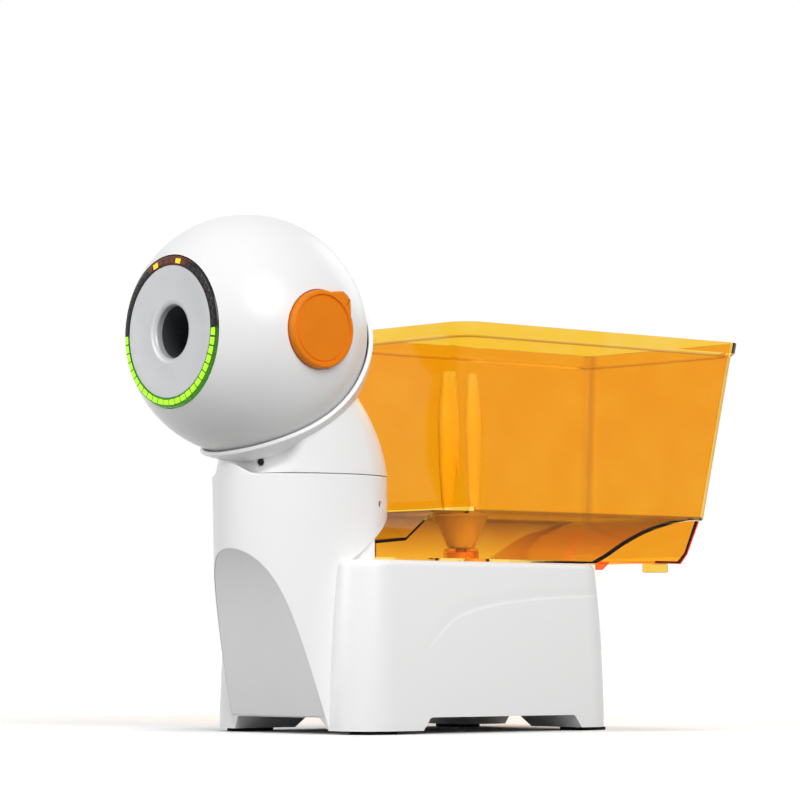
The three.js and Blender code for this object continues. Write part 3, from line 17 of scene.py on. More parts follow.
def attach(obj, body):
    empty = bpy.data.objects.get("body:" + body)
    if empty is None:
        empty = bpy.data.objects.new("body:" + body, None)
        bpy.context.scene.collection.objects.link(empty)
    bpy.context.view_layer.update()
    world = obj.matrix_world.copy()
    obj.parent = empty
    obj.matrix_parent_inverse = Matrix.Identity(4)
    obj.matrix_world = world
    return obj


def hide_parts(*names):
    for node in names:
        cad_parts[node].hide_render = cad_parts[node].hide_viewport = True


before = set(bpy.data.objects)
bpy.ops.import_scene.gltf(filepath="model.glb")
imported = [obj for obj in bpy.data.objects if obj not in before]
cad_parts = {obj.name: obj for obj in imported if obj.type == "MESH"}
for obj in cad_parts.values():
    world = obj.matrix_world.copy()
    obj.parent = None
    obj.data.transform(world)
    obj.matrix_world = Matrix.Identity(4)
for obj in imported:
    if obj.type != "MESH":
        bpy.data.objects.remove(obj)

LOG = logging.getLogger("robot")
MM = 0.001  # a millimetre in metres
PAN_Y = -149.55  # the pan axis in the row frame
OVERRUN = 3.0  # how far a cutting tool passes what it cuts
SEAT = 0.3  # clearance between pieces that are seated on each other
WELD = 0.6  # how deep one form is sunk into another of the same piece

Pair = tuple[float, float]
Pairs = tuple[Pair, ...]
Triple = tuple[float, float, float]
Quad = tuple[float, float, float, float]
Point = Triple
Colour = Quad
Ring = list[Point]

BLACK: Colour = (0.0, 0.0, 0.0, 1.0)
WHITE: Colour = (1.0, 1.0, 1.0, 1.0)
QUARTER = pi / 2


class Axis(Enum):
    """The axis that a form is drawn along, as the places of its two drawing coordinates and its length."""

    X = (1, 2, 0)
    Y = (2, 0, 1)
    Z = (0, 1, 2)

    def point(self, u: float, v: float, along: float) -> Point:
        """The point at (u, v) of the drawing plane and at a place along the axis.

        Args:
            u: first drawing coordinate.
            v: second drawing coordinate.
            along: the place along the axis.

        Returns:
            The point.
        """
        made = [0.0, 0.0, 0.0]
        for place, value in zip(self.value, (u, v, along)):
            made[place] = value
        return (made[0], made[1], made[2])


class Combining(Enum):
    """How a solid takes another one, as the modifier's operation."""

    JOIN = "UNION"
    CUT = "DIFFERENCE"
    KEEP = "INTERSECT"


def linked(name: str, data: bpy.types.ID) -> bpy.types.Object:
    """A new object with this data, in the scene."""
    made = bpy.data.objects.new(name, data)
    bpy.context.scene.collection.objects.link(made)
    return made


def srgb(red: int, green: int, blue: int) -> Colour:
    """A colour given as seen on a screen, 0 to 255, as linear light.

    Args:
        red: 0 to 255.
        green: 0 to 255.
        blue: 0 to 255.

    Returns:
        The colour.
    """
    def linear(value: int) -> float:
        """One channel."""
        share = value / 255
        return share / 12.92 if share <= 0.04045 else ((share + 0.055) / 1.055) ** 2.4

    return (linear(red), linear(green), linear(blue), 1.0)


def toned(colour: Colour, factor: float, lift: float = 0.0) -> Colour:
    """A colour made darker or paler by a factor, with a lift added to each channel."""
    red, green, blue = (min(1.0, value * factor + lift) for value in colour[:3])
    return (red, green, blue, 1.0)


def smooth_share(value: float, low: float, high: float) -> float:
    """How far value is from low to high, eased at both ends."""
    share = min(1.0, max(0.0, (value - low) / (high - low)))
    return share * share * (3 - 2 * share)


# Solids and outlines.


class Solid:
    """A closed mesh in millimetres that takes other closed meshes by union, difference and overlap."""

    def __init__(self, vertices: Iterable[Point], faces: Iterable[Sequence[int]]) -> None:
        """Makes the mesh and its object.

        Args:
            vertices: corners in millimetres.
            faces: corner numbers of each face, in either sense; they are turned outward here.
        """
        mesh = bpy.data.meshes.new("form")
        mesh.from_pydata(list(vertices), [], [tuple(face) for face in faces])
        mesh.update()
        self.object = linked("form", mesh)
        if self._volume() < 0:
            mesh.flip_normals()

    def _volume(self) -> float:
        """Six times the signed volume.

        Returns:
            The volume.
        """
        mesh = self.object.data
        mesh.calc_loop_triangles()
        corners = [vertex.co for vertex in mesh.vertices]
        total = 0.0
        for triangle in mesh.loop_triangles:
            a, b, c = (corners[i] for i in triangle.vertices)
            total += a.dot(b.cross(c))
        return total

    def _combine(self, way: Combining, others: Sequence["Solid"]) -> "Solid":
        """Combines this solid with each other solid, which is used up.

        Args:
            way: how they are combined.
            others: the other solids.

        Returns:
            This solid.
        """
        for other in others:
            modifier = self.object.modifiers.new("form", "BOOLEAN")
            modifier.operation = way.value
            modifier.solver = "MANIFOLD"
            modifier.object = other.object
        graph = bpy.context.evaluated_depsgraph_get()
        made = bpy.data.meshes.new_from_object(self.object.evaluated_get(graph))
        self.object.modifiers.clear()
        old, self.object.data = self.object.data, made
        bpy.data.meshes.remove(old)
        for other in others:
            other.discard()
        return self

    def join(self, *others: "Solid") -> "Solid":
        """This solid with the others added."""
        return self._combine(Combining.JOIN, others)

    def cut(self, *others: "Solid") -> "Solid":
        """This solid with the others taken away."""
        return self._combine(Combining.CUT, others)

    def keep(self, other: "Solid") -> "Solid":
        """What this solid shares with the other."""
        return self._combine(Combining.KEEP, [other])

    def discard(self) -> None:
        """Removes the solid and its mesh."""
        mesh = self.object.data
        bpy.data.objects.remove(self.object)
        bpy.data.meshes.remove(mesh)

    def turn(self, degrees: float, axis: str, centre: Point = (0, 0, 0)) -> "Solid":
        """Turns the solid about an axis through a centre.

        Args:
            degrees: the angle.
            axis: X, Y or Z.
            centre: a point on the axis.

        Returns:
            This solid.
        """
        there = Matrix.Translation(Vector(centre))
        matrix = there @ Matrix.Rotation(radians(degrees), 4, axis) @ there.inverted()
        self.object.data.transform(matrix)
        return self

    def move(self, offset: Point) -> "Solid":
        """Moves the solid."""
        self.object.data.transform(Matrix.Translation(Vector(offset)))
        return self


def loft(rings: Sequence[Ring], closed: bool = False) -> Solid:
    """A closed skin over rings of equal counts.

    Args:
        rings: the rings, each a list of points.
        closed: True where the last ring joins the first, as round a torus.

    Returns:
        The solid, with a flat cap at each end unless it is closed.
    """
    count = len(rings[0])
    faces: list[tuple[int, ...]] = []
    last = len(rings) if closed else len(rings) - 1
    for i in range(last):
        a, b = i * count, ((i + 1) % len(rings)) * count
        faces += [(a + j, a + (j + 1) % count, b + (j + 1) % count, b + j) for j in range(count)]
    if not closed:
        faces.append(tuple(reversed(range(count))))
        faces.append(tuple(range((len(rings) - 1) * count, len(rings) * count)))
    return Solid([point for ring in rings for point in ring], faces)


def stack(
    axis: Axis, levels: Iterable[tuple[Sequence[Pair], float]], centre: Pair = (0, 0), closed: bool = False,
) -> Solid:
    """A skin over outlines that are stacked on an axis.

    Args:
        axis: the axis.
        levels: each outline, round the origin, and its place on the axis.
        centre: the middle of the outlines in the drawing plane.
        closed: True where the last outline joins the first.

    Returns:
        The solid.
    """
    x, y = centre
    return loft([[axis.point(x + u, y + v, along) for u, v in outline] for outline, along in levels], closed)


def circle(radius: float, count: int) -> list[Pair]:
    """Points of a circle round the origin."""
    step = 2 * pi / count
    return [(radius * cos(i * step), radius * sin(i * step)) for i in range(count)]


def shares(steps: int, first: int = 0) -> list[float]:
    """Even shares up to 1."""
    return [i / steps for i in range(first, steps + 1)]


def rounding(radius: float, angles: Iterable[float]) -> list[Pair]:
    """How far in from the side, and up from its foot, a rounded edge is at each angle."""
    return [(radius * (1 - cos(angle)), radius * sin(angle)) for angle in angles]


def rod(
    axis: Axis, radius: float, low: float, high: float, centre: Pair = (0, 0), count: int = 96,
    end_radius: float | None = None, round_end: float = 0.0,
) -> Solid:
    """A cylinder or cone.

    Args:
        axis: the axis it lies along.
        radius: radius at its low end.
        low: where it starts on the axis.
        high: where it ends.
        centre: its middle in the drawing plane.
        count: sides of its outline.
        end_radius: radius at its high end, the same as radius if not given.
        round_end: radius of the rounding round its high end.

    Returns:
        The solid.
    """
    end = radius if end_radius is None else end_radius
    levels = [(radius, low), (end, high - round_end)]
    if round_end:
        angles = [step * QUARTER for step in (0.25, 0.5, 0.75, 1.0)]
        levels += [(end - inset, high - round_end + up) for inset, up in rounding(round_end, angles)]
    return stack(axis, [(circle(size, count), at) for size, at in levels], centre)


def turned(axis: Axis, profile: Sequence[Pair], centre: Pair = (0, 0), count: int = 160) -> Solid:
    """A closed profile of (radius, place on the axis) pairs turned round an axis; no radius is zero."""
    return stack(axis, [(circle(radius, count), along) for radius, along in profile], centre, closed=True)


def prism(axis: Axis, outline: Sequence[Pair], low: float, high: float, centre: Pair = (0, 0)) -> Solid:
    """A straight extrusion of an outline round a centre."""
    return stack(axis, [(outline, low), (outline, high)], centre)


def block(low: Point, high: Point) -> Solid:
    """A box between two corners, used to cut and to trim."""
    outline = [(low[0], low[1]), (high[0], low[1]), (high[0], high[1]), (low[0], high[1])]
    return prism(Axis.Z, outline, low[2], high[2])


def rounded_outline(half_u: float, half_v: float, radius: float, steps: int = 6) -> list[Pair]:
    """A rectangle with round corners, round the origin.

    Args:
        half_u: half its first size.
        half_v: half its second size.
        radius: of its corners.
        steps: faces round each corner.

    Returns:
        The points.
    """
    points = []
    for quarter, (u, v) in enumerate(((1, 1), (-1, 1), (-1, -1), (1, -1))):
        for share in shares(steps):
            angle = (quarter + share) * QUARTER
            points.append((
                u * (half_u - radius) + radius * cos(angle),
                v * (half_v - radius) + radius * sin(angle),
            ))
    return points


def smooth_line(knots: Sequence[Sequence[float]], steps: int) -> list[tuple[float, ...]]:
    """A Catmull-Rom line through knots, with steps points for each stretch.

    Args:
        knots: the points that it passes through.
        steps: points for each stretch.

    Returns:
        The points of the line.
    """
    made = []
    count = len(knots)
    for i in range(count - 1):
        a, b, c, d = (knots[min(count - 1, max(0, i + k))] for k in (-1, 0, 1, 2))
        for step in range(steps):
            t = step / steps
            made.append(tuple(
                0.5 * (2 * b[k] + (c[k] - a[k]) * t + (2 * a[k] - 5 * b[k] + 4 * c[k] - d[k]) * t * t
                       + (3 * b[k] - a[k] - 3 * c[k] + d[k]) * t ** 3)
                for k in range(len(b))
            ))
    made.append(tuple(knots[-1]))
    return made


def pad_form(
    axis: Axis, outline: Sequence[Pair], low: float, high: float, edge: float, centre: Pair,
) -> Solid:
    """An extrusion with a rounded high end.

    Args:
        axis: the axis it lies along.
        outline: its outline round the origin, which is scaled about its middle.
        low: where it starts on the axis.
        high: where it ends.
        edge: radius of the rounding.
        centre: its middle in the drawing plane.

    Returns:
        The solid.
    """
    reach = max(hypot(u, v) for u, v in outline)
    levels = [(outline, low), (outline, high - edge)]
    for inset, up in rounding(edge, (0.4, 0.8, 1.2, QUARTER)):
        share = 1 - inset / reach
        levels.append(([(u * share, v * share) for u, v in outline], high - edge + up))
    return stack(axis, levels, centre)


def rounded_ring(
    low: float, high: float, corner: Pair, half_width: float, z: float, steps: int = 14,
) -> Ring:
    """A level rectangle with round corners.

    Args:
        low: its front, as a distance behind the pan axis.
        high: its back.
        corner: radii of the front and the back corners.
        half_width: half its size in X.
        z: its height.
        steps: faces round each corner.

    Returns:
        The ring's points.
    """
    ring = []
    corners = ((1, high, corner[1]), (-1, high, corner[1]), (-1, low, corner[0]), (1, low, corner[0]))
    for quarter, (side, y, radius) in enumerate(corners):
        centre_x = side * (half_width - radius)
        centre_y = y - radius if y == high else y + radius
        for share in shares(steps):
            angle = (quarter + share) * QUARTER
            ring.append((centre_x + radius * cos(angle), centre_y + radius * sin(angle), z))
    return ring


def ellipse_ring(half_width: float, front: float, back: float, z: float, count: int = 180) -> Ring:
    """A level ellipse between a front and a back distance from the pan axis."""
    middle, half_depth = (back - front) / 2, (back + front) / 2
    return [(half_width * u, middle + half_depth * v, z) for u, v in circle(1, count)]


def round_normals(mesh: bpy.types.Mesh, centre: Point, radii: Sequence[float], slack: float = 0.06) -> None:
    """Gives the faces that lie on spheres the spheres' own normals.

    Args:
        mesh: the mesh, in millimetres.
        centre: the spheres' middle.
        radii: their radii; a negative one is a hollow's.
        slack: how far from a sphere's radius a corner may lie.
    """
    middle = Vector(centre)
    normals = [(0.0, 0.0, 0.0)] * len(mesh.loops)
    for polygon in mesh.polygons:
        corners = [mesh.vertices[i].co - middle for i in polygon.vertices]
        for radius in radii:
            if all(abs(corner.length - abs(radius)) < slack for corner in corners):
                outward = polygon.normal.dot(corners[0].normalized())
                if abs(outward) < 0.9:
                    continue
                sign = 1 if radius > 0 else -1
                for loop, corner in zip(polygon.loop_indices, corners):
                    normals[loop] = tuple(corner.normalized() * sign)
                break
    mesh.normals_split_custom_set(normals)


@dataclass(frozen=True)
class Screw:
    """A screw's head as it shows: a short rod with a slot or a cross in its outer end."""

    radius: float
    below: float  # how far it reaches under its seat
    above: float
    slot: Triple  # half width, half length, and height of its floor over the seat
    cross: bool = True

    def build(self, axis: Axis, seat: float, centre: Pair, way: int = 1) -> Solid:
        """Makes the head.

        Args:
            axis: the axis it lies along.
            seat: the seat's place on the axis.
            centre: its middle in the drawing plane.
            way: 1 where it looks up the axis, -1 where it looks down.

        Returns:
            The solid.
        """
        half, reach, floor = self.slot
        head = rod(axis, self.radius, *sorted((seat - way * self.below, seat + way * self.above)), centre, 40)
        low, high = sorted((seat + way * floor, seat + way * (self.above + 1)))
        for u, v in ((half, reach), (reach, half))[:1 + self.cross]:
            head.cut(prism(axis, [(-u, -v), (u, -v), (u, v), (-u, v)], low, high, centre))
        return head


# Finishes.


class Signal:
    """An output socket of a finish's nodes. Arithmetic on it adds Math nodes."""

    def __init__(self, paint: "Paint", socket: bpy.types.NodeSocket) -> None:
        """Holds the socket and the finish that it belongs to."""
        self.paint = paint
        self.socket = socket

    def _math(self, operation: str, *values: "Signal | float") -> "Signal":
        """A Math node on these values."""
        return self.paint.node("Math", {"operation": operation}, dict(enumerate(values)))

    def __add__(self, other: "Signal | float") -> "Signal":
        """self + other."""
        return self._math("ADD", self, other)

    __radd__ = __add__

    def __sub__(self, other: "Signal | float") -> "Signal":
        """self - other."""
        return self._math("SUBTRACT", self, other)

    def __rsub__(self, other: "Signal | float") -> "Signal":
        """other - self."""
        return self._math("SUBTRACT", other, self)

    def __mul__(self, other: "Signal | float") -> "Signal":
        """self * other."""
        return self._math("MULTIPLY", self, other)

    __rmul__ = __mul__

    def __truediv__(self, other: "Signal | float") -> "Signal":
        """self / other."""
        return self._math("DIVIDE", self, other)

    def __rtruediv__(self, other: "Signal | float") -> "Signal":
        """other / self."""
        return self._math("DIVIDE", other, self)

    def __gt__(self, other: "Signal | float") -> "Signal":
        """1 where self is above other, else 0."""
        return self._math("GREATER_THAN", self, other)

    def of(self, operation: str, *values: "Signal | float") -> "Signal":
        """Any other Math operation on self and more values."""
        return self._math(operation, self, *values)

    def ramp(self, low: float, high: float) -> "Signal":
        """0 at low, 1 at high, eased between them."""
        settings = {"interpolation_type": "SMOOTHSTEP"}
        values = {"Value": self, "From Min": low, "From Max": high}
        return self.paint.node("MapRange", settings, values)


class Paint:
    """A material and its nodes."""

    def __init__(self, name: str) -> None:
        """Starts a material with a Principled shader.

        Args:
            name: the material's name.
        """
        self.material = bpy.data.materials.new(name)
        self.material.use_nodes = True
        self.tree = self.material.node_tree
        self.tree.nodes.clear()
        self.output = self.tree.nodes.new("ShaderNodeOutputMaterial")
        self.shader = self.tree.nodes.new("ShaderNodeBsdfPrincipled")
        self.tree.links.new(self.shader.outputs[0], self.output.inputs["Surface"])
        coordinates = self.tree.nodes.new("ShaderNodeTexCoord")
        self.place = Signal(self, coordinates.outputs["Object"])

    def put(self, socket: bpy.types.NodeSocket, value: object) -> None:
        """Links a signal to a socket, or sets a plain value on it.

        Args:
            socket: the socket.
            value: the signal or the value.
        """
        if isinstance(value, Signal):
            self.tree.links.new(value.socket, socket)
        else:
            socket.default_value = value

    def node(
        self, kind: str, settings: dict | None = None, values: dict | None = None, output: int | str = 0,
    ) -> Signal:
        """Adds one node.

        Args:
            kind: the node's type, after the words that all of them start with.
            settings: its properties, set first; "stops" are a ramp's (place, colour) pairs.
            values: values or signals by socket name or number.
            output: the output that is returned.

        Returns:
            That output as a signal.
        """
        made = self.tree.nodes.new("ShaderNode" + kind)
        for name, value in (settings or {}).items():
            if name == "stops":
                self._set_stops(made.color_ramp, value)
            else:
                setattr(made, name, value)
        for key, value in (values or {}).items():
            self.put(made.inputs[key], value)
        return Signal(self, made.outputs[output])

    @staticmethod
    def _set_stops(ramp: bpy.types.ColorRamp, stops: Sequence[tuple[float, Colour]]) -> None:
        """Sets a ramp's stops.

        Args:
            ramp: the node's ramp.
            stops: places and colours.
        """
        while len(ramp.elements) < len(stops):
            ramp.elements.new(0.5)
        for element, (place, colour) in zip(ramp.elements, stops):
            element.position = place
            element.color = colour

    def vector(self, operation: str, *values: object, output: str = "Vector") -> Signal:
        """A Vector Math node on these values."""
        settings = {"operation": operation}
        return self.node("VectorMath", settings, dict(enumerate(values)), output)

    def axis(self, name: str) -> Signal:
        """One coordinate of the place, in metres of the row frame."""
        return self.node("SeparateXYZ", values={0: self.place}, output=name)

    def stretched(self, scale: Point) -> Signal:
        """The place with its axes stretched."""
        return self.node("Mapping", {}, {"Vector": self.place, "Scale": scale})

    def noise(self, size: float, detail: float = 2, place: Signal | None = None) -> Signal:
        """Noise about 0.5 whose features are about size millimetres."""
        values = {"Vector": place or self.place, "Scale": 1 / (size * MM), "Detail": detail}
        return self.node("TexNoise", {}, values)

    def cells(self, size: float) -> Signal:
        """Distance to the nearest of many scattered points, size millimetres apart."""
        values = {"Vector": self.place, "Scale": 1 / (size * MM)}
        return self.node("TexVoronoi", {}, values, "Distance")

    def mix(self, share: Signal | float, first: Signal | Colour, second: Signal | Colour) -> Signal:
        """The first colour at share 0 and the second at 1; a Mix node has its colours in sockets 6 and 7."""
        return self.node("Mix", {"data_type": "RGBA"}, {0: share, 6: first, 7: second}, 2)

    def bump(self, *layers: tuple[Signal, float]) -> None:
        """Bumps on the shader's normal: each a height from 0 to 1 and what 1 stands for, in millimetres.

        Args:
            layers: heights and depths.
        """
        normal = None
        for height, depth in layers:
            values = {"Height": height, "Distance": depth * MM}
            if normal is not None:
                values["Normal"] = normal
            normal = self.node("Bump", {}, values)
        self.set(Normal=normal)

    def set(self, **values: object) -> None:
        """Sets the shader's sockets; an underscore in a name stands for a space."""
        for name, value in values.items():
            self.put(self.shader.inputs[name.replace("_", " ")], value)


@dataclass(frozen=True)
class Finish:
    """A material's name, and how it is made."""

    name: str

    def build(self) -> Paint:
        """Makes the material."""
        paint = Paint(self.name)
        self.dress(paint)
        return paint

    def dress(self, paint: Paint) -> None:
        """Sets the nodes of a new material."""
        raise NotImplementedError


@dataclass(frozen=True)
class Moulded(Finish):
    """Injection-moulded opaque plastic with a fine grain, faint flow marks and uneven gloss."""

    colour: Colour
    roughness: float = 0.3
    grain: float = 0.9  # size of the surface grain in millimetres
    grain_depth: float = 0.004
    mottle: float = 0.02
    gloss_spread: float = 0.08
    wave: float = 0.006  # depth of the broad flow waves in millimetres

    def dress(self, paint: Paint) -> None:
        """Sets the nodes.

        Args:
            paint: the material's nodes.
        """
        flow = paint.noise(38, 3, paint.stretched((1.0, 1.0, 0.35)))
        speck = paint.noise(2.4)
        dark = toned(self.colour, 1 - self.mottle * 2)
        share = flow.ramp(0.3, 0.7) * 0.6 + speck.ramp(0.35, 0.75) * 0.4
        handled = paint.noise(16, 4)
        paint.set(
            Base_Color=paint.mix(share, self.colour, dark),
            Roughness=(handled - 0.5) * (self.gloss_spread * 2) + self.roughness,
        )
        paint.bump((paint.noise(22), self.wave), (paint.noise(self.grain, 1), self.grain_depth))


@dataclass(frozen=True)
class Eroded(Finish):
    """Plastic out of a spark-eroded mould: matt, with small pits."""

    colour: Colour
    roughness: float = 0.5
    pit: float = 0.7  # distance between pits in millimetres
    depth: float = 0.03  # of the pits in millimetres
    gloss: float = 0.5
    mottle: float = 0.1

    def dress(self, paint: Paint) -> None:
        """Sets the nodes.

        Args:
            paint: the material's nodes.
        """
        pits = paint.cells(self.pit)
        cloud = paint.noise(26, 3)
        patches = cloud.ramp(0.3, 0.7) * 0.5 + pits.ramp(0.1, 0.6) * 0.3
        paint.set(
            Base_Color=paint.mix(patches, self.colour, toned(self.colour, 1 - self.mottle)),
            Roughness=pits * 0.15 + (self.roughness - 0.06),
            Specular_IOR_Level=self.gloss,
        )
        paint.bump((pits.ramp(0.05, 0.7), self.depth), (paint.noise(0.35, 1), self.depth / 3))


@dataclass(frozen=True)
class ClearPlastic(Finish):
    """Tinted clear plastic with handling marks. Its tint carries painted shade (darker bands at some heights,
    darker edges at grazing angles and on the upright back corners) and, where given, a painted glow along
    some edges.
    """

    # the darker stops are painted shade
    tint_shade_bands: tuple[Quad, ...]  # heights in millimetres and the red, green and blue of their tints
    roughness: float = 0.05
    refraction: float = 1.22
    # the dark edge colour: painted shade on the upright back corners, and at grazing angles partly the deeper
    # tint of the longer path through the wall, partly painted shade
    edge: Colour = srgb(150, 76, 10)
    # the colour of a painted glow along some edges; the plastic gives no light
    glow: Colour | None = None
    painted_glow_lines: tuple[tuple[Pair, Pair], ...] = ()  # edges along X, as (y, z) pairs, that carry the glow
    painted_glow_width: float = 1.5
    painted_glow_half: float = 73.0  # the glow stays outside this distance from the middle
    # the upright back corners' height, back and half width, low and high, where painted shade darkens the
    # tint
    corners: tuple[Point, Point] | None = None
    corner_shade_width: Pair = (12.0, 3.0)

    def _tint_and_shade(self, paint: Paint) -> Signal:
        """The tint at each height, with painted shade in its darker bands.

        Args:
            paint: the material's nodes.

        Returns:
            The tint with its painted shade.
        """
        low, high = self.tint_shade_bands[0][0], self.tint_shade_bands[-1][0]
        share = (paint.axis("Z") - low * MM) / ((high - low) * MM)
        stops = [((height - low) / (high - low), srgb(*tint_and_painted_light)) for height, *tint_and_painted_light in self.tint_shade_bands]
        return paint.node("ValToRGB", {"stops": stops}, {0: share})

    def _painted_glow_share(self, paint: Paint) -> Signal:
        """1 on the edges with the painted glow, fading to 0 over their width.

        Args:
            paint: the material's nodes.

        Returns:
            The share, from 0 to 1.
        """
        y, z = paint.axis("Y"), paint.axis("Z")
        nearest: Signal | None = None
        for (y1, z1), (y2, z2) in self.painted_glow_lines:
            length = hypot(y2 - y1, z2 - z1)
            across, up = (z2 - z1) / length, (y2 - y1) / length
            offset = (z1 * up - (y1 + PAN_Y) * across) * MM
            distance = z * up - y * across - offset
            nearest = distance if nearest is None else nearest.of("MINIMUM", distance)
        side = paint.axis("X").of("ABSOLUTE") > self.painted_glow_half * MM
        return (1 - nearest.ramp(0.0, self.painted_glow_width * MM)) * side

    def _corner_shade_share(self, paint: Paint) -> Signal:
        """1 where painted shade darkens the upright corners at the back, fading to 0 on the flat walls.

        Args:
            paint: the material's nodes.

        Returns:
            The share, from 0 to 1.
        """
        low, high = self.corners
        rise = (paint.axis("Z") / MM - low[0]) / (high[0] - low[0])
        far, near = (-width for width in self.corner_shade_width)
        back = paint.axis("Y") / MM - PAN_Y - (rise * (high[1] - low[1]) + low[1])
        side = paint.axis("X").of("ABSOLUTE") / MM - (rise * (high[2] - low[2]) + low[2])
        return back.ramp(far, near) * side.ramp(far, near)

    def dress(self, paint: Paint) -> None:
        """Sets the nodes.

        Args:
            paint: the material's nodes.
        """
        cloud = paint.noise(45)
        tint_and_painted_light = self._tint_and_shade(paint)
        scratches = paint.noise(0.5, 1, paint.stretched((1.0, 0.12, 3.0)))
        tint_and_painted_light = paint.mix(cloud.ramp(0.35, 0.75) * 0.12, tint_and_painted_light, (1.0, 0.86, 0.42, 1.0))
        # Darker at grazing angles: partly the longer path through the wall, partly painted shade on the
        # edges.
        grazing = paint.node("LayerWeight", {}, {"Blend": 0.5}, "Facing")
        tint_and_painted_light = paint.mix(grazing.ramp(0.48, 0.95) * 0.85, tint_and_painted_light, self.edge)
        # Painted shade on the upright back corners.
        if self.corners:
            tint_and_painted_light = paint.mix(self._corner_shade_share(paint) * 0.45, tint_and_painted_light, self.edge)
        # Painted glow: the edges are tinted and lit red, though the plastic gives no light.
        if self.glow:
            edge = self._painted_glow_share(paint)
            tint_and_painted_light = paint.mix(edge * 0.8, tint_and_painted_light, self.glow)
            paint.set(Emission_Color=paint.mix(edge, BLACK, self.glow), Emission_Strength=0.6)
        paint.set(
            Base_Color=tint_and_painted_light,
            Roughness=scratches.ramp(0.62, 0.8) * 0.1 + self.roughness,
            Transmission_Weight=1.0,
            IOR=self.refraction,
        )
        paint.bump((paint.noise(30, 1), 0.03), (scratches, 0.002))
        self._let_light_in(paint, tint_and_painted_light)

    @staticmethod
    def _let_light_in(paint: Paint, tint_and_painted_light: Signal) -> None:
        """Lets lamp light through, tinted, so that what is inside is lit.

        Args:
            paint: the material's nodes.
            tint_and_painted_light: the plastic's tint, with its painted shade and glow.
        """
        shadow = paint.node("LightPath", output="Is Shadow Ray")
        clear = paint.node("BsdfTransparent", {}, {0: paint.mix(0.4, tint_and_painted_light, WHITE)})
        body = Signal(paint, paint.shader.outputs[0])
        both = paint.node("MixShader", {}, {0: shadow, 1: body, 2: clear})
        paint.put(paint.output.inputs["Surface"], both)


@dataclass(frozen=True)
class Metal(Finish):
    """Rolled or drawn metal with fine lines along an axis."""

    colour: Colour
    lines: Point = (1.0, 1.0, 18.0)
    roughness: float = 0.32

    def dress(self, paint: Paint) -> None:
        """Sets the nodes.

        Args:
            paint: the material's nodes.
        """
        streak = paint.noise(3.0, 3, paint.stretched(self.lines))
        stain = paint.noise(14, 3)
        paint.set(
            Base_Color=paint.mix(stain.ramp(0.35, 0.75), self.colour, toned(self.colour, 0.75)),
            Metallic=1.0,
            Roughness=streak * 0.25 + (self.roughness - 0.1),
        )
        paint.bump((streak, 0.01))


@dataclass(frozen=True)
class Rubber(Finish):
    """Moulded rubber, dull and slightly dusty."""

    colour: Colour
    grain: float = 0.8  # in millimetres

    def dress(self, paint: Paint) -> None:
        """Sets the nodes.

        Args:
            paint: the material's nodes.
        """
        dust = paint.noise(5, 4)
        pale = toned(self.colour, 2.2, 0.004)
        paint.set(
            Base_Color=paint.mix(dust.ramp(0.5, 0.8) * 0.6, self.colour, pale),
            Roughness=dust * 0.2 + 0.7,
            Specular_IOR_Level=0.35,
        )
        paint.bump((paint.noise(self.grain, 2), 0.03))


@dataclass(frozen=True)
class CircuitBoard(Finish):
    """Solder mask over copper tracks."""

    colour: Colour = srgb(24, 92, 50)

    def dress(self, paint: Paint) -> None:
        """Sets the nodes.

        Args:
            paint: the material's nodes.
        """
        values = {"Vector": paint.place, "Scale": 90.0, "Mortar Size": 0.03, "Mortar Smooth": 0.1}
        tracks = paint.node("TexBrick", {"offset": 0.37}, values, "Fac")
        copper = toned(self.colour, 1.8, 0.01)
        paint.set(Base_Color=paint.mix(tracks, self.colour, copper), Roughness=tracks * 0.1 + 0.35)
        paint.bump((tracks, 0.03), (paint.noise(1.2), 0.01))


@dataclass(frozen=True)
class Satin(Finish):
    """The face plate's satin silver paint: metal flakes, and faint rings left by turning."""

    colour: Colour
    centre: Point  # the plate's middle, in metres
    rings_per_metre: float = 9000  # in radians of the wave that makes them

    def dress(self, paint: Paint) -> None:
        """Sets the nodes.

        Args:
            paint: the material's nodes.
        """
        to_centre = paint.vector("SUBTRACT", paint.place, self.centre)
        radius = paint.vector("LENGTH", paint.vector("MULTIPLY", to_centre, (1.0, 0.0, 1.0)), output="Value")
        rings = (radius * self.rings_per_metre).of("SINE") * 0.5 + 0.5
        flakes = paint.cells(0.45)
        cloud = paint.noise(30)
        patches = flakes.ramp(0.1, 0.7) * 0.35 + cloud.ramp(0.3, 0.7) * 0.35
        paint.set(
            Base_Color=paint.mix(patches, self.colour, toned(self.colour, 0.86)),
            Metallic=0.25,
            Roughness=flakes * 0.12 + 0.36,
        )
        paint.bump((rings, 0.0015), (flakes, 0.002))


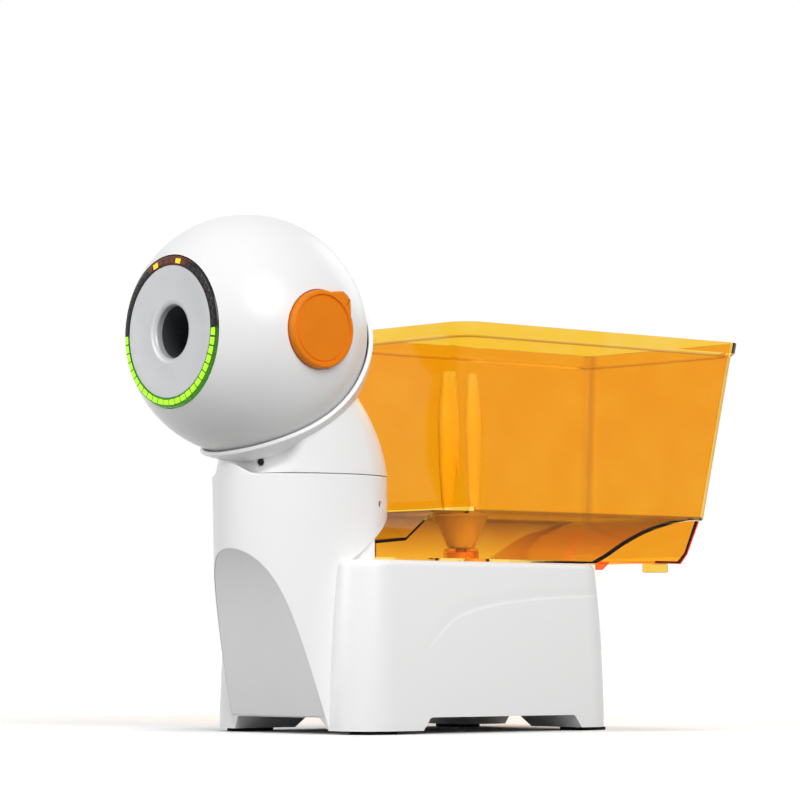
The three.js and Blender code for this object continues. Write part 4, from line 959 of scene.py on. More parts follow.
@dataclass(frozen=True)
class RingGloss(Finish):
    """The face ring's smoked gloss, with painted light from the lamps: a green glow in its lower half and a
    dim orange glow along its top edge.
    """

    dark: Colour
    # glow and ember colour the painted light from the lamps; the ring gives none of its own
    glow: Colour
    ember: Colour
    centre: Point  # the ring's middle, in metres
    radius: float  # in millimetres

    def dress(self, paint: Paint) -> None:
        """Sets the nodes.

        Args:
            paint: the material's nodes.
        """
        height = paint.axis("Z") - self.centre[2]
        lower = (height * -1 / MM).ramp(-2.0, 3.0)
        streak = paint.noise(2.2, 3, paint.stretched((1.0, 3.0, 1.0)))
        low_share = (height * -1 / (self.radius * MM)).ramp(0.0, 1.0)
        top = (height / (self.radius * MM)).ramp(0.86, 0.98)
        smoke = paint.noise(7, 3)
        body = paint.mix(smoke.ramp(0.3, 0.8), self.dark, toned(self.dark, 1.7))
        # Painted light: the lower half is tinted green and glows, and the top edge glows dim orange, though
        # only the cells are lamps.
        body = paint.mix(lower * 0.9, body, toned(self.glow, 0.16))
        painted_glow_share = lower * (low_share * 0.5 + 0.25) * (streak.ramp(0.3, 0.7) * 0.7 + 0.3)
        light = paint.mix(painted_glow_share, BLACK, self.glow)
        light = paint.mix(top * streak.ramp(0.35, 0.65) * (1 - lower), light, self.ember)
        paint.set(
            Base_Color=body,
            Roughness=smoke * 0.08 + 0.07,
            Specular_IOR_Level=0.3,
            Emission_Color=light,
            Emission_Strength=0.5,
        )
        paint.bump((paint.noise(9, 1), 0.01))


@dataclass(frozen=True)
class LampLight(Finish):
    """A lit or unlit light cell behind its clear window."""

    body: Colour
    light: Colour
    strength: float

    def dress(self, paint: Paint) -> None:
        """Sets the nodes.

        Args:
            paint: the material's nodes.
        """
        grain = paint.noise(1.6)
        paint.set(
            Base_Color=paint.mix(grain, self.body, toned(self.body, 0.6)),
            Roughness=grain * 0.1 + 0.12,
            Specular_IOR_Level=0.35,
            Emission_Color=paint.mix(grain.ramp(0.35, 0.7), self.light, toned(self.light, 0.72)),
            Emission_Strength=self.strength,
        )
        paint.bump((grain, 0.02))


class Finishes:
    """The finishes of the robot, each made once and given out by name."""

    def __init__(self, head: Point) -> None:
        """Sets every finish up.

        Args:
            head: the head's centre in the row frame, in metres.
        """
        even = {"grain": 1.6, "mottle": 0.002, "gloss_spread": 0.015}
        made = [
            Moulded("gloss_white", srgb(249, 249, 249), 0.3, grain_depth=0.0012, wave=0.002, **even),
            Moulded("head_white", srgb(239, 239, 239), 0.33, grain_depth=0.0006, wave=0.0015, **even),
            Eroded("panel_grey", srgb(246, 246, 246), pit=0.9, depth=0.004, mottle=0.02),
            Eroded("knob_orange", srgb(238, 130, 2), pit=0.5, depth=0.01, gloss=0.25),
            ClearPlastic(
                "hopper_orange",
                # Tints by height; the stops from 170 to 187.4 darken up the hull toward the ledge, and the
                # band at 333 to 334 is a dark line under the rim's flange: both painted shade.
                (
                    (144, 252, 216, 112), (154, 246, 202, 90), (170, 226, 176, 80), (184, 188, 144, 74),
                    (187.4, 168, 124, 70), (188.6, 246, 198, 56), (332.4, 247, 194, 46),
                    (333.0, 186, 122, 34), (334.0, 186, 122, 34), (334.8, 247, 198, 56), (345, 247, 200, 60),
                ),
                # where painted shade darkens the upright back corners
                corners=((187.5, 412.0, 80.0), (345.7, 434.6, 96.6)),
            ),
            ClearPlastic(
                # A painted red glow along the skirt's lower edges.
                "skirt_orange", ((138, 248, 200, 64), (186, 248, 198, 60)), glow=srgb(255, 46, 8),
                painted_glow_lines=(
                    ((290, 145.6), (379, 145.6)),
                    ((379, 145.6), (387.5, 154.4)),
                    ((387.5, 154.4), (403, 184.6)),
                ),
            ),
            Satin("face_silver", srgb(205, 206, 208), centre=head),
            # The ring's glow and ember colours are painted light from the lamps.
            RingGloss(
                "smoked_ring", dark=srgb(18, 15, 14), glow=srgb(96, 214, 18), ember=srgb(150, 70, 24),
                centre=head, radius=60,
            ),
            LampLight("lamp_green", srgb(120, 220, 20), light=srgb(178, 255, 26), strength=1.15),
            LampLight("lamp_amber", srgb(230, 150, 20), light=srgb(255, 190, 10), strength=1.3),
            LampLight("lamp_ember", srgb(70, 36, 22), light=srgb(120, 50, 18), strength=0.5),
            LampLight("lamp_off", srgb(34, 30, 28), light=srgb(20, 18, 16), strength=0.1),
            Moulded("fitting_black", srgb(30, 30, 31), 0.42, grain=0.7, grain_depth=0.01, mottle=0.15),
            Moulded("inner_grey", srgb(74, 77, 80), 0.5, grain=0.8, grain_depth=0.01, mottle=0.1),
            Moulded("stirrer_white", srgb(226, 222, 214), 0.4, grain=0.7, grain_depth=0.008, mottle=0.03),
            Moulded("nylon", srgb(228, 224, 212), 0.5, grain=0.6, grain_depth=0.008, mottle=0.05),
            Rubber("foot_rubber", srgb(24, 24, 25)),
            Rubber("tyre_rubber", srgb(40, 40, 42), grain=0.5),
            Metal("steel", srgb(190, 192, 196)),
            Metal("screw_steel", srgb(104, 106, 110), lines=(6.0, 6.0, 1.0), roughness=0.45),
            Metal("black_steel", srgb(50, 51, 54), lines=(6.0, 6.0, 1.0), roughness=0.5),
            CircuitBoard("board_green"),
        ]
        self._materials = {finish.name: finish.build().material for finish in made}

    def __getitem__(self, name: str) -> bpy.types.Material:
        """The material of a name."""
        return self._materials[name]


@dataclass
class Piece:
    """How a finished form joins the robot."""

    name: str
    finish: str
    body: str
    slot: str
    replaces: tuple[str, ...] = ()
    sharp: float = 32.0  # edges that turn more than this many degrees stay sharp
    centre: Point | None = None  # the middle of the spheres that parts of its surface lie on
    radii: tuple[float, ...] = ()


class Workshop:
    """Turns forms into pieces of the scene."""

    def __init__(self, finishes: Finishes) -> None:
        """Holds the finishes that pieces are given."""
        self.finishes = finishes

    def place(self, form: Solid, piece: Piece) -> bpy.types.Object:
        """Names, shades, finishes and mounts a form.

        Args:
            form: the form in millimetres.
            piece: its name, finish, body, slot and the nodes that it stands for.

        Returns:
            The object, in metres in the row frame.
        """
        made = form.object
        made.name = made.data.name = piece.name
        mesh = made.data
        mesh.shade_smooth()
        mesh.set_sharp_from_angle(angle=radians(piece.sharp))
        if piece.centre:
            round_normals(mesh, piece.centre, piece.radii)
        mesh.transform(Matrix.Scale(MM, 4) @ Matrix.Translation((0, PAN_Y, 0)))
        if not piece.centre:
            weighted = made.modifiers.new("even_shading", "WEIGHTED_NORMAL")
            weighted.keep_sharp = True
        mesh.materials.clear()
        mesh.materials.append(self.finishes[piece.finish])
        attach(made, piece.body)
        if piece.replaces:
            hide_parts(*piece.replaces)
        LOG.info("%s: %d faces on %s", piece.name, len(mesh.polygons), piece.body)
        return made


# The base.


@dataclass
class Base:
    """The base: a box with leaning walls, the column with its concave front, and what is fitted to them."""

    shop: Workshop
    front: float = 20
    back: float = 273
    half_width: float = 105
    corner: float = 34
    top: float = 143.5
    taper: float = 6.4
    edge_round: float = 6
    wall: float = 3
    arch_height: float = 13.7
    arch_slope: float = 10.5
    # the arches' corner: outward from the slope's end, down from the top
    arch_corner: Pairs = ((2.6, 3.4), (1.0, 1.0), (-1.6, 0.0))
    front_arch: float = 64.5  # half widths of the arches in front and at the back
    back_arch: float = 44
    side_arch: Pair = (44, 229)  # front and back of the arches at the sides
    foot_height: float = 2.6
    foot_size: Pair = (15, 17)
    foot_corner: float = 7
    # the rubber feet's lower edge: heights, and how far the outline is grown there
    foot_edge: Pairs = ((0.0, -0.65), (0.4, -0.2), (0.9, 0.0))
    foot_places: Pairs = ((81, 12), (-81, 12), (81, 251), (-81, 251))
    grip: Triple = (6, 0.9, 0.8)  # the grooves' distance from the middle, half width, depth
    grip_margin: float = 4
    column_depth: float = 78
    column_width: float = 66.5
    column_top: float = 214
    front_taper: float = 7
    seam: Pair = (0.8, 0.6)  # height and depth of its top edge's chamfer
    lip_rise: float = 10
    lip_angle: float = radians(27)
    ramp_start: Pair = (1, 143.2)  # the undercut's start: behind the pan axis, up
    ramp_rise: float = 0.635
    heel: Pair = (60, 31.3)  # half width and back
    # a cubic curve's four points for the concave front's line: ahead of the pan axis, up
    scoop: Pairs = ((80, 157.5), (52, 130), (44.5, 78), (18, -2))
    scoop_wall: float = 5
    panel: float = 2.4
    panel_margin: float = 0.55
    screw_hole: Quad = (3.2, 3, 190.7, 34.8)  # radius, depth, height, turn
    screw: Screw = Screw(3.1, 2.4, 2.1, (0.42, 2.1, 1.1))
    bearing_bore: float = 34
    boss: Pair = (12, 182)  # radius, place behind the pan axis
    boss_gap: float = 0.7
    outlet: Pair = (22, 118)  # radius, place behind the pan axis
    switch: Quad = (-46, 62, 7.5, 10.5)  # x, z, half width, half height
    bezel: Pair = (2.2, 1.6)  # how far it reaches past the switch's body, thickness
    switch_depth: float = 16
    switch_well: float = 9.6
    rocker_pin: Triple = (4.8, 1.4, 1.7)  # depth, radius, half width of its slot
    # the rocker's outline: out of the bezel's back, up as a share of half its height
    rocker: Pairs = (
        (-7.3, -0.35), (-0.6, -1), (3.3, -0.96), (3.8, -0.91), (3.75, -0.83), (0.9, -0.12),
        (0.62, 0), (0.72, 0.12), (1.5, 0.9), (1.4, 0.98), (-0.6, 1), (-7.3, 0.35),
    )
    inlet: Triple = (-14, 62, 5.6)  # x, z, radius
    inlet_flange: Pair = (8.0, 0.7)  # radius and rounding
    inlet_depth: float = 14
    inlet_bore: Pair = (3.2, 9.8)  # radius and depth
    inlet_mouth: Pair = (5.4, 1.1)  # radius, and where the cone starts
    inlet_tip: Triple = (1.05, 11, 0.4)  # radius, ends behind the face
    cover_screw_places: Pairs = ((86, 62), (-86, 62), (86, 205), (-86, 205), (0, 258), (0, 6))
    cover_screw: Screw = Screw(3.1, 0.6, 0.9, (0.45, 2.1, 0.2))
    # the sweeping edge on the box's sides, as shares of its length and height
    arc: Pairs = (
        (0.14, 0.27), (0.18, 0.455), (0.245, 0.58), (0.31, 0.67), (0.39, 0.72), (0.49, 0.757), (0.62, 0.784),
        (0.755, 0.8), (0.86, 0.807), (0.93, 0.81),
    )
    arc_fade: Pair = (0.3, 0.04)  # shares of its length over which it fades in and out
    arc_skin: float = 0.06  # how far the tool's edges stand off the wall
    # distance above the arc and depth, in millimetres; a depth below zero stands clear of the wall
    arc_section: Pairs = (
        (12, 0), (9, 0.07), (6, 0.2), (3, 0.42), (1, 0.6), (0, 0.6), (-0.8, 0.4), (-1.8, 0.12), (-2.6, 0),
        (-2.6, -3), (12, -3),
    )

    def _rings(self, inset: float, low: float, high: float) -> list[Ring]:
        """The rings of the box's skin, moved in by an inset, between two heights.

        Args:
            inset: how far it is moved in.
            low: its lower end.
            high: its upper end.

        Returns:
            The rings.
        """
        shoulder = self.top - self.edge_round
        sizes = []
        for share in shares(18):
            z = low + share * (shoulder - low)
            sizes.append((z, inset + self.taper * (z / shoulder) ** 2))
        for more, up in rounding(self.edge_round, [share * QUARTER for share in shares(8, 1)]):
            sizes.append((shoulder + up, inset + self.taper + more))
        rings = []
        for z, grown in sizes:
            corner = self.corner - grown / 2
            half = self.half_width - grown
            front, back = grown - self.front, self.back - grown
            rings.append(rounded_ring(front, back, (corner, corner), half, min(z, high)))
        return rings

    def _column(self, inset: float, low: float, high: float) -> Solid:
        """The column's loft, moved in by an inset.

        Args:
            inset: how far it is moved in.
            low: its lower end.
            high: its upper end.

        Returns:
            The solid.
        """
        rings = []
        for z, more in ((low, 0.0), (high - self.seam[0], 0.0), (high, self.seam[1])):
            half = self.column_width - inset - more
            back = self.column_depth - inset - more
            front = back - self.front_taper * (1 - z / self.column_top)
            rings.append(ellipse_ring(half, front, back, z))
        return loft(rings)

    def _scoop_line(self, depth: float) -> list[Pair]:
        """The concave front's line as (y, z), moved back by a depth.

        Args:
            depth: how far back it is moved.

        Returns:
            The points.
        """
        line = []
        for t in shares(40):
            weights = ((1 - t) ** 3, 3 * t * (1 - t) ** 2, 3 * t * t * (1 - t), t ** 3)
            ahead, z = (sum(w * point[k] for w, point in zip(weights, self.scoop)) for k in (0, 1))
            line.append((depth - ahead, z))
        return line

    def _scoop_tool(self, depth: float) -> Solid:
        """Everything ahead of the scoop's line.

        Args:
            depth: how far back it is moved.

        Returns:
            The solid.
        """
        line = self._scoop_line(depth)
        ahead = -self.column_depth - self.column_width
        outline = [*line, (ahead, self.scoop[-1][1]), (ahead, line[0][1])]
        return prism(Axis.X, outline, -self.half_width, self.half_width)

    def _ramp_height(self, y: float) -> float:
        """The undercut's height at a distance behind the pan axis."""
        return self.ramp_start[1] + self.ramp_rise * (y - self.ramp_start[0])

    def _undercut_tool(self) -> Solid:
        """Everything under the undercut at the column's back, except its heel.

        Returns:
            The solid.
        """
        far = self.column_depth + OVERRUN
        start, height = self.ramp_start
        outline = [(start, 0), (far, 0), (far, self._ramp_height(far)), (start, height)]
        half, back = self.heel
        under = prism(Axis.X, outline, -self.half_width, self.half_width)
        return under.cut(block((-half, -1, -1), (half, back, self.column_top)))

    def _lip(self) -> Solid:
        """The raised front edge of the column, with a round top.

        Returns:
            The solid.
        """
        rings = []
        thick = self.wall
        for share in shares(48):
            turn = self.lip_angle * (2 * share - 1)
            rise = self.lip_rise * (1 + cos(pi * turn / self.lip_angle)) / 2
            low, high = self.column_top - thick / 2, self.column_top + rise
            section = [(0.0, low), (thick, low)]
            for angle in (share * pi for share in shares(6)):
                section.append((thick / 2 * (1 + cos(angle)), high - thick / 2 * (1 - sin(angle))))
            ring = []
            for inset, z in section:
                x = (self.column_width - inset) * sin(turn)
                ring.append((x, -(self.column_depth - inset) * cos(turn), z))
            rings.append(ring)
        return loft(rings)

    def _arches(self) -> list[Solid]:
        """The tools for the arches between the corner feet.

        Returns:
            The tools.
        """
        def outline(low: float, high: float) -> list[Pair]:
            """An arch's outline between two places.

            Args:
                low: where it starts.
                high: where it ends.

            Returns:
                The points.
            """
            slope, height = self.arch_slope, self.arch_height
            points = [(low, -1.0), (high, -1.0), (high, 0.0)]
            for at, way in ((high - slope, 1), (low + slope, -1)):
                curve = [(at + way * out, height - down) for out, down in self.arch_corner]
                points += curve if way > 0 else list(reversed(curve))
            return [*points, (low, 0.0)]

        front, back = self.side_arch
        middle = (front + back) / 2
        wide = self.half_width + OVERRUN
        ahead = -self.column_depth - 4 * OVERRUN
        front_outline = [(z, x) for x, z in outline(-self.front_arch, self.front_arch)]
        back_outline = [(z, x) for x, z in outline(-self.back_arch, self.back_arch)]
        return [
            prism(Axis.X, outline(front, back), -wide, wide),
            prism(Axis.Y, front_outline, ahead, middle),
            prism(Axis.Y, back_outline, middle, self.back + OVERRUN),
        ]

    def _side_point(self, y: float, z: float, out: float) -> Point:
        """A point of the left side at a place behind the pan axis, moved out along the wall's normal.

        Args:
            y: the place behind the pan axis.
            z: the height.
            out: how far out along the wall's normal.

        Returns:
            The point.
        """
        grown = self.taper * (z / (self.top - self.edge_round)) ** 2
        radius = self.corner - grown / 2
        start = self.back - grown - radius
        middle = self.half_width - grown - radius
        if y <= start:
            return (middle + radius + out, y, z)
        angle = asin(min(1.0, (y - start) / radius))
        return (middle + (radius + out) * cos(angle), start + (radius + out) * sin(angle), z)

    def _side_grooves(self) -> list[Solid]:
        """The tools for the soft valley over the sweeping edge on each side of the box.

        Returns:
            The tools.
        """
        line = smooth_line([(along * self.back, up * self.top) for along, up in self.arc], 8)
        rings = []
        for i, (y, z) in enumerate(line):
            before, after = line[max(0, i - 1)], line[min(len(line) - 1, i + 1)]
            way = Vector((after[0] - before[0], after[1] - before[1])).normalized()
            along = i / (len(line) - 1)
            fade_in, fade_out = self.arc_fade
            share = smooth_share(along, 0.0, fade_in) * smooth_share(1 - along, 0.0, fade_out)
            ring = []
            for across, depth in self.arc_section:
                out = self.arc_skin - share * depth if depth >= 0 else -depth
                ring.append(self._side_point(y - way[1] * across, z + way[0] * across, out))
            rings.append(ring)
        return [loft([[(side * x, y, z) for x, y, z in ring] for ring in rings]) for side in (1, -1)]

    def back_wall(self, z: float) -> float:
        """The back wall's outer face at a height."""
        return self.back - self.taper * (z / (self.top - self.edge_round)) ** 2

    def shell(self) -> None:
        """Builds the white shell of the box and the column."""
        low = self.foot_height + SEAT
        outer = loft(self._rings(0, low, self.top))
        column = self._column(0, low, self.column_top).cut(self._scoop_tool(0), self._undercut_tool())
        outer.join(column, self._lip())
        far = 150  # past the box on every side
        room = loft(self._rings(self.wall, self.arch_height, self.top)).keep(
            block((-far, -far, self.arch_height), (far, 2 * far, self.top - self.wall))
        )
        margin = self.panel_margin
        pocket = self._scoop_tool(self.panel + SEAT).cut(self._scoop_tool(-self.wall)).keep(
            self._column(margin, self.arch_height + margin, self.scoop[0][1] - margin)
        )
        outer.cut(room, self._column_room(), pocket, *self._side_grooves(), *self._arches(), *self._holes())
        piece = Piece("base_casing", "gloss_white", "base", "shell_white", ("base_shell",), 24)
        self.shop.place(outer, piece)

    def _column_room(self) -> Solid:
        """The column's hollow, between its concave front and the undercut.

        Returns:
            The solid.
        """
        back, top = self.column_depth, self.column_top
        line = [point for point in self._scoop_line(self.scoop_wall) if point[1] > self.arch_height]
        start = self.ramp_start[0] - self.wall
        slope_wall = self.wall * hypot(1, self.ramp_rise)
        outline = [*line, (start, self.arch_height), (start, self.ramp_start[1] + slope_wall)]
        outline += [(back, self._ramp_height(back) + slope_wall), (back, top), (line[0][0], top)]
        side = prism(Axis.X, outline, -self.column_width, self.column_width)
        return self._column(self.wall, self.arch_height, top - self.wall).keep(side)

    def _holes(self) -> list[Solid]:
        """The tools for the screw's hole, the holes in the tops, the switch and the supply inlet.

        Returns:
            The tools.
        """
        radius, depth, z, angle = self.screw_hole
        screw = rod(Axis.X, radius, 0, self.column_depth, (0, z), 48).turn(angle, "Z")
        screw.cut(self._column(depth, 0, self.column_top))
        x, switch_z, half_u, half_v = self.switch
        inlet_x, inlet_z, inlet = self.inlet
        deep = 2 * self.wall
        wall, behind = self.back_wall(switch_z) - deep, self.back + OVERRUN
        low, high = self.top - deep, self.top + OVERRUN
        window = block(
            (x - half_u - SEAT, wall, switch_z - half_v - SEAT),
            (x + half_u + SEAT, behind, switch_z + half_v + SEAT),
        )
        return [
            screw,
            rod(Axis.Z, self.bearing_bore, self.column_top - deep, self.column_top + OVERRUN),
            rod(Axis.Z, self.boss[0] + self.boss_gap, low, high, (0, self.boss[1])),
            rod(Axis.Z, self.outlet[0], low, high, (0, self.outlet[1])),
            window,
            rod(Axis.Y, inlet + SEAT, wall, behind, (inlet_z, inlet_x), 48),
        ]

    def column_screw(self) -> None:
        """Builds the screw in the hole at the column's side."""
        _, depth, z, angle = self.screw_hole
        turn = radians(angle)
        far = 1 / hypot(cos(turn) / self.column_width, sin(turn) / self.column_depth) - depth
        head = self.screw.build(Axis.X, far, (0, z)).turn(angle, "Z")
        self.shop.place(head, Piece("column_screw", "black_steel", "base", "steel"))

    def panel_piece(self) -> None:
        """Builds the grey cover in the concave front."""
        margin = self.panel_margin + SEAT
        sheet = self._scoop_tool(self.panel).cut(self._scoop_tool(0)).keep(
            self._column(margin, self.arch_height + margin, self.scoop[0][1] - margin)
        )
        self.shop.place(sheet, Piece("front_cover", "panel_grey", "base", "cover_grey", ("front_panel",), 24))

    def feet(self) -> None:
        """Builds the four rubber feet, each with two grip grooves."""
        half_u, half_v = self.foot_size
        away, half, depth = self.grip
        names = ("front_left", "front_right", "back_left", "back_right")
        for name, (x, y) in zip(names, self.foot_places):
            foot = stack(Axis.Z, [
                (rounded_outline(half_u + more, half_v + more, self.foot_corner + more, 8), z)
                for z, more in (*self.foot_edge, (self.foot_height, 0.0))
            ], (x, y))
            groove = rounded_outline(half_u - self.grip_margin, half, depth, 4)
            for way in (-1, 1):
                foot.cut(prism(Axis.Z, groove, -1, depth, (x, y + way * away)))
            nodes = ("rubber_foot_" + name,)
            self.shop.place(foot, Piece("grip_foot_" + name, "foot_rubber", "base", "rubber_black", nodes))

    def power_switch(self) -> None:
        """Builds the power switch on the back wall: its bezel with the body, and its rocker."""
        x, z, half_u, half_v = self.switch
        reach, thick = self.bezel
        depth, radius, slot = self.rocker_pin
        face = self.back_wall(z - half_v - reach) + SEAT
        wall = reach / 2
        at = (z, x)
        rim = rounded_outline(half_v + reach, half_u + reach, reach)
        body = rounded_outline(half_v, half_u, 0.8)
        well = rounded_outline(half_v - wall, half_u - wall, 0.7)
        pin = (face - depth, z)
        flange = pad_form(Axis.Y, rim, face, face + thick, 0.8, at)
        flange.join(prism(Axis.Y, body, face - self.switch_depth, face + WELD, at))
        flange.cut(prism(Axis.Y, well, face - self.switch_well, face + OVERRUN, at))
        flange.join(rod(Axis.X, radius, x - half_u, x + half_u, pin, 32))
        piece = Piece("switch_bezel", "fitting_black", "base", "fitting_black", ("power_switch_bezel",))
        self.shop.place(flange, piece)
        half = half_v - wall - 1.0
        side = half_u - wall - SEAT
        outline = [(face + out, z + up * half) for out, up in self.rocker]
        rocker = prism(Axis.X, outline, x - side, x + side).cut(
            rod(Axis.X, slot, x - half_u, x + half_u, pin, 32),
            block((x - half_u, pin[0] - self.switch_depth, z - slot), (x + half_u, pin[0], z + slot)),
        )
        piece = Piece("switch_rocker", "fitting_black", "rocker", "fitting_black", ("power_rocker",), 40)
        self.shop.place(rocker, piece)

    def supply_inlet(self) -> None:
        """Builds the supply inlet on the back wall, with its contact."""
        x, z, radius = self.inlet
        at = (z, x)
        flange, edge = self.inlet_flange
        bore, depth = self.inlet_bore
        mouth, cone = self.inlet_mouth
        tip_radius, low, high = self.inlet_tip
        face = self.back_wall(z - flange) + SEAT
        past = face + 5
        inlet = rod(Axis.Y, flange, face, face + self.bezel[1], at, 64, round_end=edge)
        inlet.join(rod(Axis.Y, radius, face - self.inlet_depth, face + 0.5, at, 64))
        inlet.cut(
            rod(Axis.Y, bore, face - depth, past, at, 48),
            rod(Axis.Y, bore, face + cone, past, at, 48, end_radius=mouth),
        )
        piece = Piece("inlet_body", "fitting_black", "base", "fitting_black", ("dc_inlet",))
        self.shop.place(inlet, piece)
        tip = rod(Axis.Y, tip_radius, face - low, face - high, at, 32, round_end=0.9)
        self.shop.place(tip, Piece("inlet_tip", "steel", "base", "steel"))

    def cover_screws(self) -> None:
        """Builds the bottom cover's countersunk screws."""
        for number, place in enumerate(self.cover_screw_places):
            head = self.cover_screw.build(Axis.Z, self.arch_height + SEAT, place, -1)
            self.shop.place(head, Piece(f"cover_screw_{number + 1}", "screw_steel", "base", "steel"))

    def build(self) -> None:
        """Builds every piece of the base."""
        self.shell()
        self.panel_piece()
        self.feet()
        self.power_switch()
        self.supply_inlet()
        self.cover_screws()
        self.column_screw()


# The neck.


@dataclass
class Neck:
    """The neck that turns on the column and ends in the cup that the head sits in."""

    shop: Workshop
    column_top: float = Base.column_top
    half_width: float = Base.column_width
    low: float = 214.9
    wall: float = 3
    # rise over the column, front, back, and the turns at which the recess ends and starts, in degrees
    stations: tuple[tuple[float, ...], ...] = (
        (0.9, 78, 78, 6, 52),
        (5, 77.8, 77.2, 16, 53.5),
        (10, 77.6, 76, 31, 55),
        (18, 77.3, 73.5, 39, 57.5),
        (28, 76.9, 69.2, 42, 60),
        (41, 76.4, 61.6, 44, 62),
        (55, 75.8, 51, 45, 63),
        (73, 75.1, 33.4, 46, 64),
    )
    core: Pair = (61, 55)  # half depth, half width
    foot: Pair = (0.95, 0.3)  # the share of its outline that stands in the seam, and its gap to the column
    screw_hole: Quad = (3.4, 4, 224.5, 17)  # radius, depth, height, turn
    screw: Screw = Screw(2.7, 0.4, 1.6, (0.4, 2.0, 0.8), cross=False)
    sink: Pair = (6.0, 2.2)  # the radius and depth of the hole's sunk mouth
    sink_flare: float = 1.4  # how far the mouth's cone goes on past the surface
    ball: Point = (0, -58, 330.5)
    cup_axis: float = radians(48)
    cup_inner: float = 102
    cup_outer: float = 105.8
    lip_round: float = 1.2
    rim: float = radians(54.4)
    rim_tilt: float = radians(-4.8)
    rim_saddle: float = radians(8.4)
    tube_hole: Triple = (27.5, -4, 329)  # radius, place behind the pan axis, top
    spigot: Triple = (30, 26, 196.5)  # outer and inner radius, lower end
    count: int = 216  # points round each ring
    pole: float = 0.02  # the cup's first ring, as a share of the way out to its rim

    def _ring(self, station: Sequence[float]) -> Ring:
        """The neck's outline at a station, with its recess.

        Args:
            station: its rise, front, back and the recess's turns.

        Returns:
            The ring's points.
        """
        rise, front, back, inner_turn, outer_turn = station
        z = self.column_top + rise
        ring = ellipse_ring(self.half_width, front, back, z, self.count)
        depth, width = self.core
        core = ellipse_ring(width, depth, depth, z, self.count)
        made = []
        for i, (point, inside) in enumerate(zip(ring, core)):
            turn = abs((360 * i / self.count + 90 + 180) % 360 - 180)
            share = 1 - smooth_share(turn, inner_turn, outer_turn)
            made.append(tuple(a + (b - a) * share for a, b in zip(point, inside)))
        return made

    def cup_point(self, radius: float, spread: float, turn: float) -> Point:
        """A point at a radius from the ball's centre.

        Args:
            radius: the distance from the centre.
            spread: the angle from the cup's axis.
            turn: the angle round the axis, from below.

        Returns:
            The point.
        """
        axis = Vector((0, cos(self.cup_axis), -sin(self.cup_axis)))
        under = Vector((0, -sin(self.cup_axis), -cos(self.cup_axis)))
        side = Vector((1, 0, 0))
        across = under * cos(turn) + side * sin(turn)
        return tuple(Vector(self.ball) + (axis * cos(spread) + across * sin(spread)) * radius)

    def _cup_ring(self, radius: float, share: float, past: float = 0.0) -> Ring:
        """A ring of the cup at a share of the way out to its saddle-shaped rim.

        Args:
            radius: the distance from the ball's centre.
            share: the share of the way to the rim.
            past: an angle past that.

        Returns:
            The ring's points.
        """
        ring = []
        for i in range(self.count):
            turn = 2 * pi * i / self.count
            spread = self.rim + self.rim_tilt * cos(turn) + self.rim_saddle * cos(2 * turn)
            ring.append(self.cup_point(radius, share * spread + past, turn))
        return ring

    def _cup(self) -> Solid:
        """The cup with its rounded lip.

        Returns:
            The solid.
        """
        ways = [self.pole + (1 - self.pole) * share for share in shares(34)]
        outside = [self._cup_ring(self.cup_outer, way) for way in ways]
        inside = [self._cup_ring(self.cup_inner, way) for way in ways]
        lip = []
        half = (self.cup_outer - self.cup_inner) / 2
        for i in range(1, 8):
            angle = i / 8 * pi
            radius = self.cup_inner + half + half * cos(angle)
            lip.append(self._cup_ring(radius, 1, self.lip_round * sin(angle) / self.cup_outer))
        return loft([*outside, *lip, *reversed(inside)])

    def _room(self, radius: float) -> Solid:
        """The room in and over the cup, out to a radius."""
        rings = [self._cup_ring(radius, self.pole + (1 - self.pole) * share) for share in shares(30)]
        return loft([*rings, self._cup_ring(100, 2)])

    def build(self) -> None:
        """Builds the neck and its cup."""
        outline = [self._ring(station) for station in smooth_line(self.stations, 7)]
        depth, width = self.core
        wall = self.wall
        hollow = []
        for i, (rise, _, back, _, _) in enumerate(self.stations):
            if i != 1:  # the hollow's floor takes the place of the two lowest stations
                z = max(self.column_top + rise, self.low + wall)
                hollow.append(ellipse_ring(width - wall, depth - wall, back - wall, z, 96))
        neck = loft(outline).cut(loft(hollow), self._room(self.cup_outer - WELD))
        share, clearance = self.foot
        step = [(x * share, y * share) for x, y, _ in self._ring(self.stations[0])]
        step = prism(Axis.Z, step, self.column_top + clearance, self.low + WELD)
        outer, inner, lower = self.spigot
        neck.join(self._cup(), step, rod(Axis.Z, outer, lower, self.low + WELD))
        bore, place, top = self.tube_hole
        neck.cut(
            *self._screw_tools(),
            rod(Axis.Z, inner, lower - OVERRUN, self.low + wall + OVERRUN),
            rod(Axis.Z, bore, self.low + 2 * wall, top, (0, place)),
        )
        piece = Piece(
            "neck_casing", "gloss_white", "neck", "shell_white", ("neck_shell",), 30,
            self.ball, (self.cup_outer, -self.cup_inner),
        )
        self.shop.place(neck, piece)
        self._screw()

    def _screw_tools(self) -> list[Solid]:
        """The tools for the screw's hole and its sunk mouth.

        Returns:
            The tools.
        """
        radius, deep, z, angle = self.screw_hole
        mouth, sunk = self.sink
        front = -self.core[0]
        hole = rod(Axis.Y, radius, front - OVERRUN, front + deep, (z, 0), 48)
        flare = self.sink_flare
        cone = rod(Axis.Y, mouth + flare, front - flare, front + sunk, (z, 0), 48, end_radius=radius)
        return [hole.turn(angle, "Z"), cone.turn(angle, "Z")]

    def _screw(self) -> None:
        """Builds the screw in the front of the neck."""
        _, deep, z, angle = self.screw_hole
        head = self.screw.build(Axis.Y, deep - self.core[0], (z, 0), -1).turn(angle, "Z")
        self.shop.place(head, Piece("neck_screw", "black_steel", "neck", "steel"))


# The head.


class LampKind(Enum):
    """What a light cell of the face ring shows, as its finish's name ends."""

    GREEN = "green"
    AMBER = "amber"
    EMBER = "ember"
    OFF = "off"


